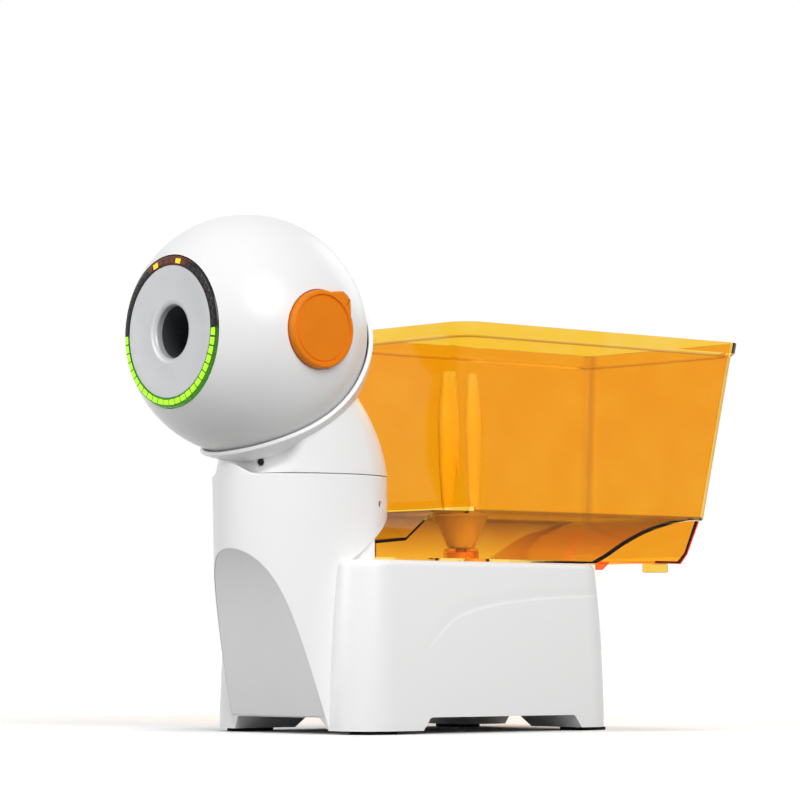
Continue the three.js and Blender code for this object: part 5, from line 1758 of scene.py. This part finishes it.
@dataclass
class Head:
    """The round head, its face and the two side fittings on its tilt axis."""

    shop: Workshop
    centre: Pair = (-58, 329)  # the tilt axis: behind the pan axis, and up
    ball: Point = Neck.ball
    radius: float = 100.5
    wall: float = 2.6
    far: float = 110  # past the ball on every side
    opening: float = 63.2
    slot: Triple = (27.5, 18, 84)  # half width, the turns at its ends
    pivot_bore: float = 5.6
    boss: Pair = (36, 88.5)  # radius, end nearest to the middle
    pocket: Pair = (33, 93)  # radius, its floor's distance from the middle
    ring_outer: float = 62.8
    ring_inner: float = 54.9
    ring_wall: float = 1.8
    ring_back: float = 71.4
    ring_edge: float = 77.6
    ring_crown: float = 80.4
    ring_front: float = 80.9
    ring_chamfer: float = 0.3
    lamps: int = 48
    lamp_band: Pair = (1.3, 5.2)  # the cells' edges outward from the ring's inner edge
    lamp_depth: float = 2.2
    lamp_gap: float = 0.8
    lamp_pocket: float = 0.35  # how much the pockets are wider than the cells
    amber_turns: Pair = (11.25, -18.75)  # the two amber cells, in degrees from the top
    ember_turns: Pair = (-3.75, 27)  # the middle and half width of the dim cells, in degrees
    plate_radius: float = 54.5
    plate_front: float = 80.5
    plate_dish: float = 79.4
    lip: float = 28
    muzzle: float = 21.8
    throat: float = 75.5
    plate_back: float = 71.3
    plate_wall: float = 2
    chassis_front: float = 71
    knob_radius: float = 32
    knob_floor: float = 93
    knob_face: float = 101.6
    knob_edge: float = 2.4
    tab_floor: float = 95.6
    tab_reach: float = 39
    tab_angle: float = radians(49)
    tab_half: float = radians(26)
    groove: float = 27.6
    # the groove's profile: outward from its radius, out of the knob's face
    groove_profile: Pairs = (
        (-2.0, 3), (-1.7, -0.8), (-0.9, -1.7), (-0.1, -1.7), (0.7, -0.6), (1.3, 3),
    )
    mark: Triple = (0.55, 3.2, 1.9)  # half width, half length, depth
    mark_place: Triple = (25.4, 23.2, -30)  # backward, up, turn
    stud: Pair = (5, 98.5)  # radius, its end's distance from the middle
    stud_bore: float = 90  # where its bore starts
    cap_edge: Pair = (1.4, 1.2)  # how far its edge is rounded inward and outward
    wheel: Triple = (27, 10, 19)  # radius, half width, the hub's radius
    wheel_place: Pair = (28, 18.5)  # ahead of the tilt axis, its nearest point over or under it
    tyre_edge: Pairs = ((1.25, 0), (0.3, 1.2))  # below the tread, in from the side
    tread: Quad = (3, 0.7, 0.35, 0.7)  # spacing, half width above and below, depth

    def _sphere(self, radius: float, count: int = 256) -> Solid:
        """A ball round the head's middle with its poles on the Y axis.

        Args:
            radius: its radius.
            count: points round each ring.

        Returns:
            The solid.
        """
        rings = []
        steps = count // 2
        for i in range(1, steps):
            angle = pi * i / steps
            size = radius * sin(angle)
            y = self.ball[1] + radius * cos(angle)
            rings.append([(self.ball[0] + size * u, y, self.ball[2] + size * v) for u, v in circle(1, count)])
        return loft(rings)

    def _face(self, profile: Sequence[Pair]) -> Solid:
        """A profile of (radius, distance ahead of the centre) turned round the head's own axis."""
        at = (self.centre[1], 0.0)
        return turned(Axis.Y, [(radius, self.centre[0] - ahead) for radius, ahead in profile], at, 240)

    def shell(self) -> None:
        """Builds the ball with its openings."""
        at = self.centre
        ball = self._sphere(self.radius)
        inside = self._sphere(self.radius - self.wall, 160)
        radius, near = self.boss
        far = self.far
        inside.cut(rod(Axis.X, radius, near, far, at), rod(Axis.X, radius, -far, -near, at))
        ball.cut(inside)
        half, start, end = self.slot
        reach = self.radius * 1.5
        wedge = [at]
        for share in (0, 0.5, 1):
            angle = radians(start + share * (end - start))
            wedge.append((at[0] + reach * cos(angle), at[1] - reach * sin(angle)))
        pocket, floor = self.pocket
        ball.cut(
            rod(Axis.X, pocket, floor, far, at, 160),
            rod(Axis.X, pocket, -far, -floor, at, 160),
            rod(Axis.X, self.pivot_bore, -far, far, at, 48),
            prism(Axis.X, wedge, -half, half),
            rod(Axis.Y, self.opening, at[0] - far, at[0] - self.chassis_front, (at[1], 0), 240),
        )
        piece = Piece(
            "head_casing", "head_white", "head", "shell_white", ("head_shell",), 30,
            self.ball, (self.radius, self.wall - self.radius),
        )
        self.shop.place(ball, piece)

    def ring(self) -> None:
        """Builds the smoked ring with its light cells."""
        ring = self._face(self._ring_profile())
        for pocket in self._cells(self.lamp_pocket):
            ring.cut(pocket)
        piece = Piece("smoked_ring", "smoked_ring", "head", "lens_smoked", ("face_ring",), 40)
        self.shop.place(ring, piece)
        kinds: dict[LampKind, list[Solid]] = {kind: [] for kind in LampKind}
        for number, cell in enumerate(self._cells(0.0)):
            kinds[self._lamp_kind(number)].append(cell)
        for kind, (first, *rest) in kinds.items():
            first.join(*rest)
            piece = Piece("lamps_" + kind.value, "lamp_" + kind.value, "head", "lens_smoked", (), 40)
            self.shop.place(first, piece)

    def _ring_profile(self) -> list[Pair]:
        """The ring's profile: a crown over its middle that falls to its outer edge.

        Returns:
            The points.
        """
        inner, outer, wall = self.ring_inner, self.ring_outer, self.ring_wall
        front, back, top = self.ring_front, self.ring_back, self.ring_crown
        crown = (inner + outer) / 2
        start = crown - WELD
        step = 0.2
        profile = [(inner, back), (inner, front - self.ring_chamfer), (inner + self.ring_chamfer, front)]
        for share in shares(8):
            fall = (top - self.ring_edge) * (1 - sqrt(max(0.0, 1 - share * share)))
            profile.append((start + share * (outer - start), top + step - fall - step * share))
        profile += [(outer, back), (outer - wall, back), (outer - wall, self.ring_edge - 1.4)]
        profile += [(crown, top - wall), (inner + wall, front - wall), (inner + wall, back)]
        return profile

    def _lamp_kind(self, number: int) -> LampKind:
        """Which light a cell shows; cells are numbered from the top towards the robot's left.

        Args:
            number: the cell's number.

        Returns:
            The kind.
        """
        turn = (number + 0.5) * 360 / self.lamps
        turn = turn - 360 if turn > 180 else turn
        if abs(turn) > 90:
            return LampKind.GREEN
        if min(abs(turn - amber) for amber in self.amber_turns) < 1:
            return LampKind.AMBER
        middle, half = self.ember_turns
        return LampKind.EMBER if abs(turn - middle) < half else LampKind.OFF

    def _cells(self, grown: float) -> list[Solid]:
        """The light cells, or with grown the pockets for them.

        Args:
            grown: 0 for the cells, how much wider for the pockets.

        Returns:
            The solids.
        """
        cells = []
        step = 2 * pi / self.lamps
        low, high = self.lamp_band
        low, high = self.ring_inner + low - grown, self.ring_inner + high + grown
        back = self.ring_front - self.lamp_depth - grown
        section = [(low, back), (high, back)]
        section += [(radius, self._cell_front(radius, grown)) for radius in (high, low)]
        half = step / 2 - (self.lamp_gap - grown) / self.ring_inner
        for number in range(self.lamps):
            middle = (number + 0.5) * step
            rings = []
            for share in shares(6):
                turn = middle + half * (2 * share - 1)
                rings.append([self._on_face(radius, ahead, turn) for radius, ahead in section])
            cells.append(loft(rings))
        return cells

    def _cell_front(self, radius: float, grown: float) -> float:
        """How far ahead a cell's face stands at a radius; a pocket for it is open to the front.

        Args:
            radius: the distance from the face's middle.
            grown: 0 for a cell, above it for a pocket.

        Returns:
            The distance ahead of the centre.
        """
        if grown:
            return self.ring_front + 1
        start = self.ring_inner + 3
        share = max(0.0, (radius - start) / (self.ring_outer - start))
        return self.ring_front + 0.12 - share * share * 1.6

    def _on_face(self, radius: float, ahead: float, turn: float) -> Point:
        """A point of the face at a turn from its top towards the robot's left."""
        return (radius * sin(turn), self.centre[0] - ahead, self.centre[1] + radius * cos(turn))

    def plate(self) -> None:
        """Builds the dished face plate with its soft flare into the muzzle."""
        rim, front, dish = self.plate_radius, self.plate_front, self.plate_dish
        back, lip, muzzle, throat = self.plate_back, self.lip, self.muzzle, self.throat
        edge, wall, thick = 0.5, self.plate_wall, 2.2
        profile = [(rim, back), (rim, front - edge)]
        profile += [(rim - inset, front - edge + up) for inset, up in rounding(edge, (0.5, 1.0, QUARTER))]
        for share in shares(12, 1):
            radius = rim - wall - share * (rim - wall - lip)
            profile.append((radius, front - (front - dish) * sin(share * QUARTER)))
        for angle in (share * QUARTER for share in shares(12, 1)):
            swell = 0.25 * sin(2 * angle)
            radius = lip - (lip - muzzle) * sin(angle)
            profile.append((radius, dish + swell - (dish - throat) * (1 - cos(angle))))
        profile += [(muzzle, back), (muzzle + wall, back), (muzzle + wall, throat - 1.1)]
        profile += [(lip, dish - thick), (rim - wall, front - thick), (rim - wall, back)]
        piece = Piece("muzzle_plate", "face_silver", "head", "face_silver", ("face_plate",), 40)
        self.shop.place(self._face(profile), piece)

    def _knob_outline(self, inset: float) -> list[Pair]:
        """The knob's outline with its corner tab, moved in by an inset.

        Args:
            inset: how far it is moved in.

        Returns:
            The points.
        """
        radius, reach = self.knob_radius - inset, self.tab_reach - inset * 1.3
        start = self.tab_angle + self.tab_half
        sweep = 2 * pi - 2 * self.tab_half
        outline = []
        for angle in (start + sweep * share for share in shares(150)):
            outline.append((radius * cos(angle), radius * sin(angle)))
        knots = [outline[-1]]
        for share in (-0.34, -0.15, 0.15, 0.34):
            angle = self.tab_angle + share * self.tab_half
            far = reach - 9 * share * share
            knots.append((far * cos(angle), far * sin(angle)))
        knots.append(outline[0])
        return outline[:-1] + smooth_line(knots, 5)[:-1]

    def knob(self) -> None:
        """Builds the tilt knob: round, with a raised rim, a sunk middle and a marked corner."""
        at = self.centre
        face, low, edge = self.knob_face, self.tab_floor, self.knob_edge
        levels = [(0.5, low), (0.0, low + 0.5), (0.0, face - edge)]
        levels += [(inset, face - edge + up) for inset, up in rounding(edge, (0.3, 0.6, 0.9, 1.2, QUARTER))]
        knob = stack(Axis.X, [(self._knob_outline(inset), x) for inset, x in levels], at)
        knob.join(rod(Axis.X, self.knob_radius, self.knob_floor + 0.7, low + WELD, at, 160))
        inner, past = self.groove, face + OVERRUN
        sunk = rod(Axis.X, inner - 1.2, face - 0.9, past, at, 160, end_radius=inner + 2.0)
        channel = turned(Axis.X, [(inner + out, face + up) for out, up in self.groove_profile], at)
        radius, far = self.stud
        bore = rod(Axis.X, radius + SEAT, self.stud_bore, far + SEAT, at, 48)
        half, reach, depth = self.mark
        back, up, turn = self.mark_place
        mark = block((face - depth, -half, -reach), (past, half, reach)).turn(turn, "X")
        knob.cut(sunk, channel, bore, mark.move((0, at[0] + back, at[1] + up)))
        piece = Piece("tilt_knob_cap", "knob_orange", "knob", "knob_orange", ("tilt_knob",), 34)
        self.shop.place(knob, piece)

    def cap(self) -> None:
        """Builds the white pivot cap opposite the knob."""
        face, floor, size = self.knob_face, self.knob_floor, self.knob_radius
        crown = (face - floor) / 4
        shoulder = face - crown - 0.6
        inward, outward = self.cap_edge
        levels = [(size, floor + SEAT), (size, shoulder)]
        for angle in (0.4, 0.8, 1.2, QUARTER):
            levels.append((size - inward * (1 - cos(angle)), shoulder + outward * sin(angle)))
        for share in (0.9, 0.75, 0.55, 0.35, 0.15, 0.03):
            levels.append((size * share, face - crown * share * share))
        cap = stack(Axis.X, [(circle(radius, 160), -x) for radius, x in levels], self.centre)
        radius, far = self.stud
        cap.cut(rod(Axis.X, radius + SEAT, -far - SEAT, -self.stud_bore, self.centre, 48))
        self.shop.place(cap, Piece("pivot_cover", "head_white", "head", "shell_white", ("pivot_cap",), 34))

    def wheels(self) -> None:
        """Builds the two tyres with their fine grooves."""
        radius, half, hub = self.wheel
        ahead, nearest = self.wheel_place
        spacing, wide, narrow, depth = self.tread
        shoulder = [(radius - below, half - inward) for below, inward in self.tyre_edge]
        for name, side in (("upper", 1), ("lower", -1)):
            at = (self.centre[0] - ahead, self.centre[1] + side * (nearest + radius))
            profile = [(hub + SEAT, -half), *((size, -x) for size, x in shoulder)]
            for i in range(-2, 3):
                x = i * spacing
                profile += [(radius, x - wide), (radius - depth, x - narrow)]
                profile += [(radius - depth, x + narrow), (radius, x + wide)]
            profile += [*reversed(shoulder), (hub + SEAT, half)]
            tyre = turned(Axis.X, profile, at, 120)
            piece = Piece(
                name + "_tyre", "tyre_rubber", "wheel_" + name, "rubber_black", (name + "_wheel_tyre",), 50
            )
            self.shop.place(tyre, piece)

    def build(self) -> None:
        """Builds every piece of the head."""
        self.shell()
        self.ring()
        self.plate()
        self.knob()
        self.cap()
        self.wheels()


# The hopper.


@dataclass
class Hopper:
    """The clear orange ball hopper, its skirt and the agitator in it."""

    shop: Workshop
    rim: Quad = (345.7, 95.7, 438, 100)  # height, front, back, half width
    ledge: Quad = (187.5, 126, 412, 80)
    flange: float = 3.4
    flange_height: float = 9.7
    chamfer: float = 3
    corners: Pair = (20, 14)
    # the bin's lower and upper edges: up from its underside or top, outward there
    lower_edge: Pairs = ((0, -1.2), (0.5, -0.4), (1.3, 0.0))
    upper_edge: Pairs = ((-0.9, 0.0), (-0.25, -0.25), (0.0, -0.9))
    wall: float = 2.6
    floor: float = 144
    half_width: float = 76
    nose_half: float = 60
    nose: Pair = (32, 160.5)  # behind the pan axis, and up
    nose_back: Pair = (66, 163.5)
    roof_front: float = 91
    shoulder: float = 122
    hull_back: float = 397
    rise_start: float = 272
    # the rising back, as shares of the way back and up
    rise: Pairs = (
        (0, 0), (0.12, 0.15), (0.29, 0.4), (0.44, 0.585), (0.57, 0.715), (0.7, 0.81), (0.82, 0.89), (1, 0.96),
    )
    rise_lift: float = 0.8  # how far it moves up for each millimetre inward
    miter: float = 0.5
    outlet: Pair = Base.outlet
    cap: Quad = (15.5, 157.2, 2, 7)  # radius, top, wall, bore
    drive_y: float = Base.boss[1]
    skirt_half: float = 75.5
    skirt_wall: float = 2.4
    skirt_gap: float = 0.7
    hook: Triple = (274.5, 281.0, 138.8)  # front, back, lower end
    # the skirt's outer and inner lines seen from the side, and the back walls above them
    skirt_line: Pairs = ((290, 145.6), (379, 145.6), (387.5, 154.4))
    skirt_inner_line: Pairs = ((271.5, 148), (376.6, 148), (385.1, 155.6))
    skirt_backs: Pair = (403, 400.6)
    skirt_opening: tuple[Pair, Pair] = ((200, 100), (348.1, 150.4))
    stub_place: Pair = (60, 362)
    stub_rings: Pairs = ((10.3, 137.7), (11.2, 138.1), (11.5, 139.0), (11.5, 146.8))  # radii, heights

    def _bin_ring(self, z: float, grown: float) -> Ring:
        """The bin's outline at a height, grown outward.

        Args:
            z: the height.
            grown: how far it is grown outward.

        Returns:
            The ring's points.
        """
        share = (z - self.ledge[0]) / (self.rim[0] - self.ledge[0])
        front, back, half = (
            self.ledge[k] + share * (self.rim[k] + way * self.flange - self.ledge[k])
            for k, way in ((1, 1), (2, -1), (3, -1))
        )
        corner = (self.corners[0] + grown, self.corners[1] + grown)
        return rounded_ring(front - grown, back + grown, corner, half + grown, z, 12)

    def _rise(self, inset: float) -> list[Pair]:
        """The hull's rising back as (y, z), moved in by an inset.

        Args:
            inset: how far it is moved in.

        Returns:
            The points.
        """
        height = self.ledge[0] - self.floor
        span = self.hull_back - self.rise_start
        start, foot = self.rise_start - inset, self.floor + inset * self.rise_lift
        return [(start + along * span, foot + up * height) for along, up in smooth_line(self.rise, 5)]

    def _hull(self, inset: float, top: float) -> Solid:
        """The hull under the bin with its nose, moved in by an inset.

        Args:
            inset: how far it is moved in.
            top: the height at which it ends.

        Returns:
            The solid.
        """
        ledge = self.ledge[0]
        front, miter = self.nose[0] + inset, inset * self.miter
        nose_y, nose_z = self.nose_back
        rise = self._rise(inset)
        outline = [(front, self.floor + inset), *[(y, min(z, top)) for y, z in rise], (rise[-1][0], top)]
        outline += [(self.shoulder + inset, top), (self.shoulder + inset, ledge - inset)]
        outline += [(self.roof_front + miter, ledge - inset), (nose_y + miter, nose_z - inset)]
        outline += [(front, self.nose[1] - inset)]
        nose, half = self.nose_half - inset, self.half_width - inset
        right = [(nose, front), (nose, nose_y), (half, self.shoulder), (half, self.hull_back - inset)]
        plan = right + [(-x, y) for x, y in reversed(right)]
        side = prism(Axis.X, outline, -self.half_width, self.half_width)
        return side.keep(prism(Axis.Z, plan, self.floor - 0.01, top + 0.01))

    def bin(self) -> None:
        """Builds the bin and its hull in one piece."""
        top, ledge, floor = self.rim[0], self.ledge[0], self.floor
        flange = top - self.flange_height
        levels = [(ledge - self.wall + up, grown) for up, grown in self.lower_edge]
        levels += [(flange - self.chamfer, 0.0), (flange, self.flange)]
        levels += [(top + up, self.flange + grown) for up, grown in self.upper_edge]
        outer = loft([self._bin_ring(z, grown) for z, grown in levels])
        inner = loft([self._bin_ring(z, -self.wall) for z in (ledge, top + OVERRUN)])
        radius, cap_top, cap_wall, bore = self.cap
        at = (0.0, self.drive_y)
        outer.join(self._hull(0, ledge - WELD))
        outer.cut(inner, self._hull(self.wall, ledge + OVERRUN))
        outer.join(rod(Axis.Z, radius, floor + WELD, cap_top, at, 96, round_end=1.2))
        outer.cut(
            rod(Axis.Z, radius - cap_wall, floor - OVERRUN, cap_top - cap_wall, at),
            rod(Axis.Z, bore, cap_top - 2 * cap_wall, cap_top + OVERRUN, at, 64),
            rod(Axis.Z, self.outlet[0], floor - OVERRUN, floor + 2 * self.wall, (0, self.outlet[1])),
        )
        piece = Piece("clear_bin", "hopper_orange", "hopper", "bin_orange", ("hopper_bin",), 28)
        self.shop.place(outer, piece)

    def skirt(self) -> None:
        """Builds the skirt under the bin's overhang with its hooks and stub feet."""
        half, gap = self.skirt_half, self.skirt_gap
        room = half - self.skirt_wall
        ceiling = self.ledge[0] - self.wall - SEAT
        hook_front, hook_back, hook_z = self.hook
        back, inner_back = self.skirt_backs
        above, inner_front = ceiling + OVERRUN, self.skirt_inner_line[0][0]
        under = [(y, min(z - gap, ceiling)) for y, z in self._rise(0) if y > hook_front]
        outline = [(hook_front, hook_z), (hook_back, hook_z), *self.skirt_line, (back, ceiling)]
        outline += [(self.hull_back + SEAT, ceiling), *reversed(under), (hook_front, self.floor - gap)]
        inside = [*self.skirt_inner_line, (inner_back, above), (inner_front, above)]
        low, high = self.skirt_opening
        skirt = prism(Axis.X, outline, -half, half).cut(
            prism(Axis.X, inside, -room, room), block((-room, *low), (room, *high)),
        )
        x, y = self.stub_place
        for side in (-1, 1):
            stub = [(circle(radius, 64), z) for radius, z in self.stub_rings]
            skirt.join(stack(Axis.Z, stub, (side * x, y)))
        piece = Piece("clear_skirt", "skirt_orange", "hopper", "bin_orange", ("hopper_skirt",), 28)
        self.shop.place(skirt, piece)

    def build(self) -> None:
        """Builds every piece of the hopper."""
        self.bin()
        self.skirt()
        Agitator(self.shop).build()


@dataclass
class Agitator:
    """The agitator that turns in the bin: a cone and a disc with two waisted posts."""

    shop: Workshop
    drive_y: float = Base.boss[1]
    cone: Quad = (12, 25, 158, 185.6)  # radii below and above, and their heights
    disc: Pair = (185, 188)  # its heights
    post_place: float = 15
    post: Pair = (187.4, 124.6)  # its foot and its height
    post_width: float = 0.62  # as a share of its depth
    # the posts' shape, as shares of their height and half depths in millimetres
    waist: Pairs = (
        (0.0, 7.4), (0.02, 5.8), (0.05, 5.3), (0.16, 7.2), (0.4, 8.9), (0.62, 9.5), (0.8, 8.2), (0.94, 6.4),
        (0.985, 5.2), (1.0, 3.4),
    )
    socket: Triple = (5.9, 155, 170)  # the drive socket's radius, and its heights

    def build(self) -> None:
        """Builds the agitator."""
        at = (0.0, self.drive_y)
        narrow, wide, low, high = self.cone
        body = rod(Axis.Z, narrow, low, high, at, 96, end_radius=wide)
        body.join(rod(Axis.Z, wide, *self.disc, at, 96, round_end=1.0))
        foot, height = self.post
        levels = []
        for along, half in smooth_line(self.waist, 4):
            outline = [(u * half * self.post_width, v * half) for u, v in circle(1, 56)]
            levels.append((outline, foot + along * height))
        posts = [stack(Axis.Z, levels, (0, self.drive_y + side * self.post_place)) for side in (-1, 1)]
        radius, low, high = self.socket
        body.join(*posts).cut(prism(Axis.Z, circle(radius, 6), low, high, at))
        piece = Piece("stirring_fork", "stirrer_white", "stirrer", "cover_grey", ("agitator",), 34)
        self.shop.place(body, piece)


# Floor, background, lamps and camera.


@dataclass
class Studio:
    """The floor, the lights and the camera."""

    eye: Point = (2.2438, -1.9887, 0.0734)
    heading: Pair = (-0.7547, 0.6561)
    tilt: float = radians(4.06)
    lens: float = 155.25
    sensor: float = 36.0
    floor_half: float = 30.0  # in metres
    middle: Point = (0, 0, 0.2)  # the robot's middle, which every lamp is aimed at
    # each lamp's name, place, width in metres and power in watts
    lamps: tuple[tuple[str, Point, float, float], ...] = (
        ("camera_side", (2.2, -0.9, 1.6), 1.6, 49.0),
        ("front", (-0.9, -2.4, 1.2), 1.4, 25.0),
        ("back", (-0.6, 2.3, 1.5), 1.6, 8.0),
    )

    def floor(self, finishes: "StudioFinishes") -> None:
        """Lays the pale floor.

        Args:
            finishes: the studio's finishes.
        """
        size = self.floor_half
        corners = [(-size, -size, 0), (size, -size, 0), (size, size, 0), (-size, size, 0)]
        mesh = bpy.data.meshes.new("floor")
        mesh.from_pydata(corners, [], [(0, 1, 2, 3)])
        floor = linked("floor", mesh)
        floor.data.materials.append(finishes.floor())

    def camera(self) -> None:
        """Sets the camera at the photograph's place and angle."""
        data = bpy.data.cameras.new("camera")
        data.lens, data.sensor_width = self.lens, self.sensor
        camera = linked("camera", data)
        level = cos(self.tilt)
        way = Vector((self.heading[0] * level, self.heading[1] * level, sin(self.tilt)))
        self._aim(camera, self.eye, way)
        bpy.context.scene.camera = camera

    @staticmethod
    def _aim(made: bpy.types.Object, place: Point, way: Vector) -> None:
        """Puts a camera or a lamp at a place and points it along a way."""
        made.location = place
        made.rotation_mode = "QUATERNION"
        made.rotation_quaternion = way.to_track_quat("-Z", "Y")

    def lights(self) -> None:
        """Hangs the soft lamps, each aimed at the robot's middle."""
        for name, place, size, power in self.lamps:
            data = bpy.data.lights.new(name, "AREA")
            data.shape, data.size, data.energy = "DISK", size, power
            self._aim(linked(name, data), place, Vector(self.middle) - Vector(place))

    def build(self) -> None:
        """Builds the studio."""
        finishes = StudioFinishes()
        self.floor(finishes)
        bpy.context.scene.world = finishes.world()
        self.lights()
        self.camera()
        bpy.context.scene.view_settings.view_transform = "Standard"


@dataclass(frozen=True)
class StudioFinishes:
    """The floor's finish and the surround, both white to the eye and plain to the light."""

    horizon: float = 0.21
    zenith: float = 0.42
    floor_tone: Colour = srgb(160, 160, 160)
    near_glow: float = 0.3
    far_glow: float = 0.9
    shade: Pair = (0.0, 0.14)  # metres from the base over which the near glow rises
    fade: Pair = (0.25, 3.0)  # metres from the base over which the far glow rises
    base_middle: Point = (0.0, -0.023, 0.0)
    base_half: Point = (0.105, 0.146, 1.0)

    def _clearance(self, paint: Paint) -> Signal:
        """How far a place on the floor lies from the base's outline, in metres."""
        offset = paint.vector("ABSOLUTE", paint.vector("SUBTRACT", paint.place, self.base_middle))
        outside = paint.vector("MAXIMUM", paint.vector("SUBTRACT", offset, self.base_half), (0.0, 0.0, 0.0))
        return paint.vector("LENGTH", outside, output="Value")

    def floor(self) -> bpy.types.Material:
        """A pale floor that keeps the object's shadow and meets the white backdrop.

        Returns:
            The material.
        """
        paint = Paint("pale_floor")
        seen = seen_share(paint)
        distance = self._clearance(paint)
        near, far = distance.ramp(*self.shade), distance.ramp(*self.fade)
        glow = (far * (self.far_glow - self.near_glow) + near * self.near_glow) * seen
        cloud = paint.noise(400)
        tone = paint.mix(cloud.ramp(0.3, 0.7), self.floor_tone, toned(self.floor_tone, 0.97))
        paint.set(
            Base_Color=paint.mix(seen, tone, WHITE),
            Roughness=0.9,
            Specular_IOR_Level=0.0,
            Emission_Color=paint.mix(glow, BLACK, WHITE),
            Emission_Strength=1.0,
        )
        return paint.material

    def world(self) -> bpy.types.World:
        """A surround that is white to the eye and lights softly from above.

        Returns:
            The world.
        """
        sky = Sky("surround")
        height = sky.node("SeparateXYZ", values={0: sky.place}, output="Z")
        level = height.ramp(0.0, 1.0) * (self.zenith - self.horizon) + self.horizon
        seen = seen_share(sky)
        sky.put(sky.shader.inputs["Strength"], level * (1 - seen) + seen)
        return sky.world


def seen_share(paint: Paint) -> Signal:
    """1 for what is seen by the camera, in gloss or through clear plastic.

    Args:
        paint: the material's nodes.

    Returns:
        The share, 0 or 1.
    """
    def ray(output: str) -> Signal:
        """One kind of ray."""
        return paint.node("LightPath", output=output)

    return ray("Is Camera Ray").of("MAXIMUM", ray("Is Glossy Ray")).of("MAXIMUM", ray("Is Transmission Ray"))


class Sky(Paint):
    """The world's nodes."""

    def __init__(self, name: str) -> None:
        """Starts a world with a background shader.

        Args:
            name: the world's name.
        """
        self.world = bpy.data.worlds.new(name)
        self.world.use_nodes = True
        self.tree = self.world.node_tree
        self.tree.nodes.clear()
        output = self.tree.nodes.new("ShaderNodeOutputWorld")
        self.shader = self.tree.nodes.new("ShaderNodeBackground")
        self.shader.inputs["Color"].default_value = WHITE
        self.tree.links.new(self.shader.outputs[0], output.inputs["Surface"])
        self.place = self.node("TexCoord", output="Generated")


# The parts inside.


@dataclass
class Inside:
    """The pieces that keep their CAD mesh and get a detailed finish."""

    finishes: Finishes
    by_finish: dict[str, tuple[str, ...]] = field(default_factory=lambda: {
        "inner_grey": ("feed_tube", "head_yoke", "throwing_chassis"),
        "panel_grey": ("bottom_cover",),
        "nylon": (
            "drive_pinion", "drive_gear", "pan_bearing", "pan_pinion", "pan_ring_gear",
            "upper_wheel_hub", "lower_wheel_hub",
        ),
        "steel": (
            "drive_bracket", "feed_motor", "pan_bracket", "pan_motor", "tilt_stud", "tilt_pin",
            "upper_wheel_motor", "lower_wheel_motor",
        ),
        "board_green": ("control_board", "led_board"),
        "gloss_white": ("drive_boss",),
    })

    def build(self) -> None:
        """Gives each piece its finish."""
        for finish, names in self.by_finish.items():
            for name in names:
                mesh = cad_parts[name].data
                mesh.materials.clear()
                mesh.materials.append(self.finishes[finish])
                LOG.info("%s: %s", name, finish)


def main() -> None:
    """Builds the robot's looks and its studio, in order."""
    logging.basicConfig(level=logging.INFO, format="%(name)s: %(message)s")
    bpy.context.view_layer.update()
    back, up = Head.centre
    shop = Workshop(Finishes((0.0, (back + PAN_Y) * MM, up * MM)))
    for assembly in (Base(shop), Neck(shop), Head(shop), Hopper(shop), Inside(shop.finishes)):
        assembly.build()
    Studio().build()


if __name__ == "__main__":
    main()
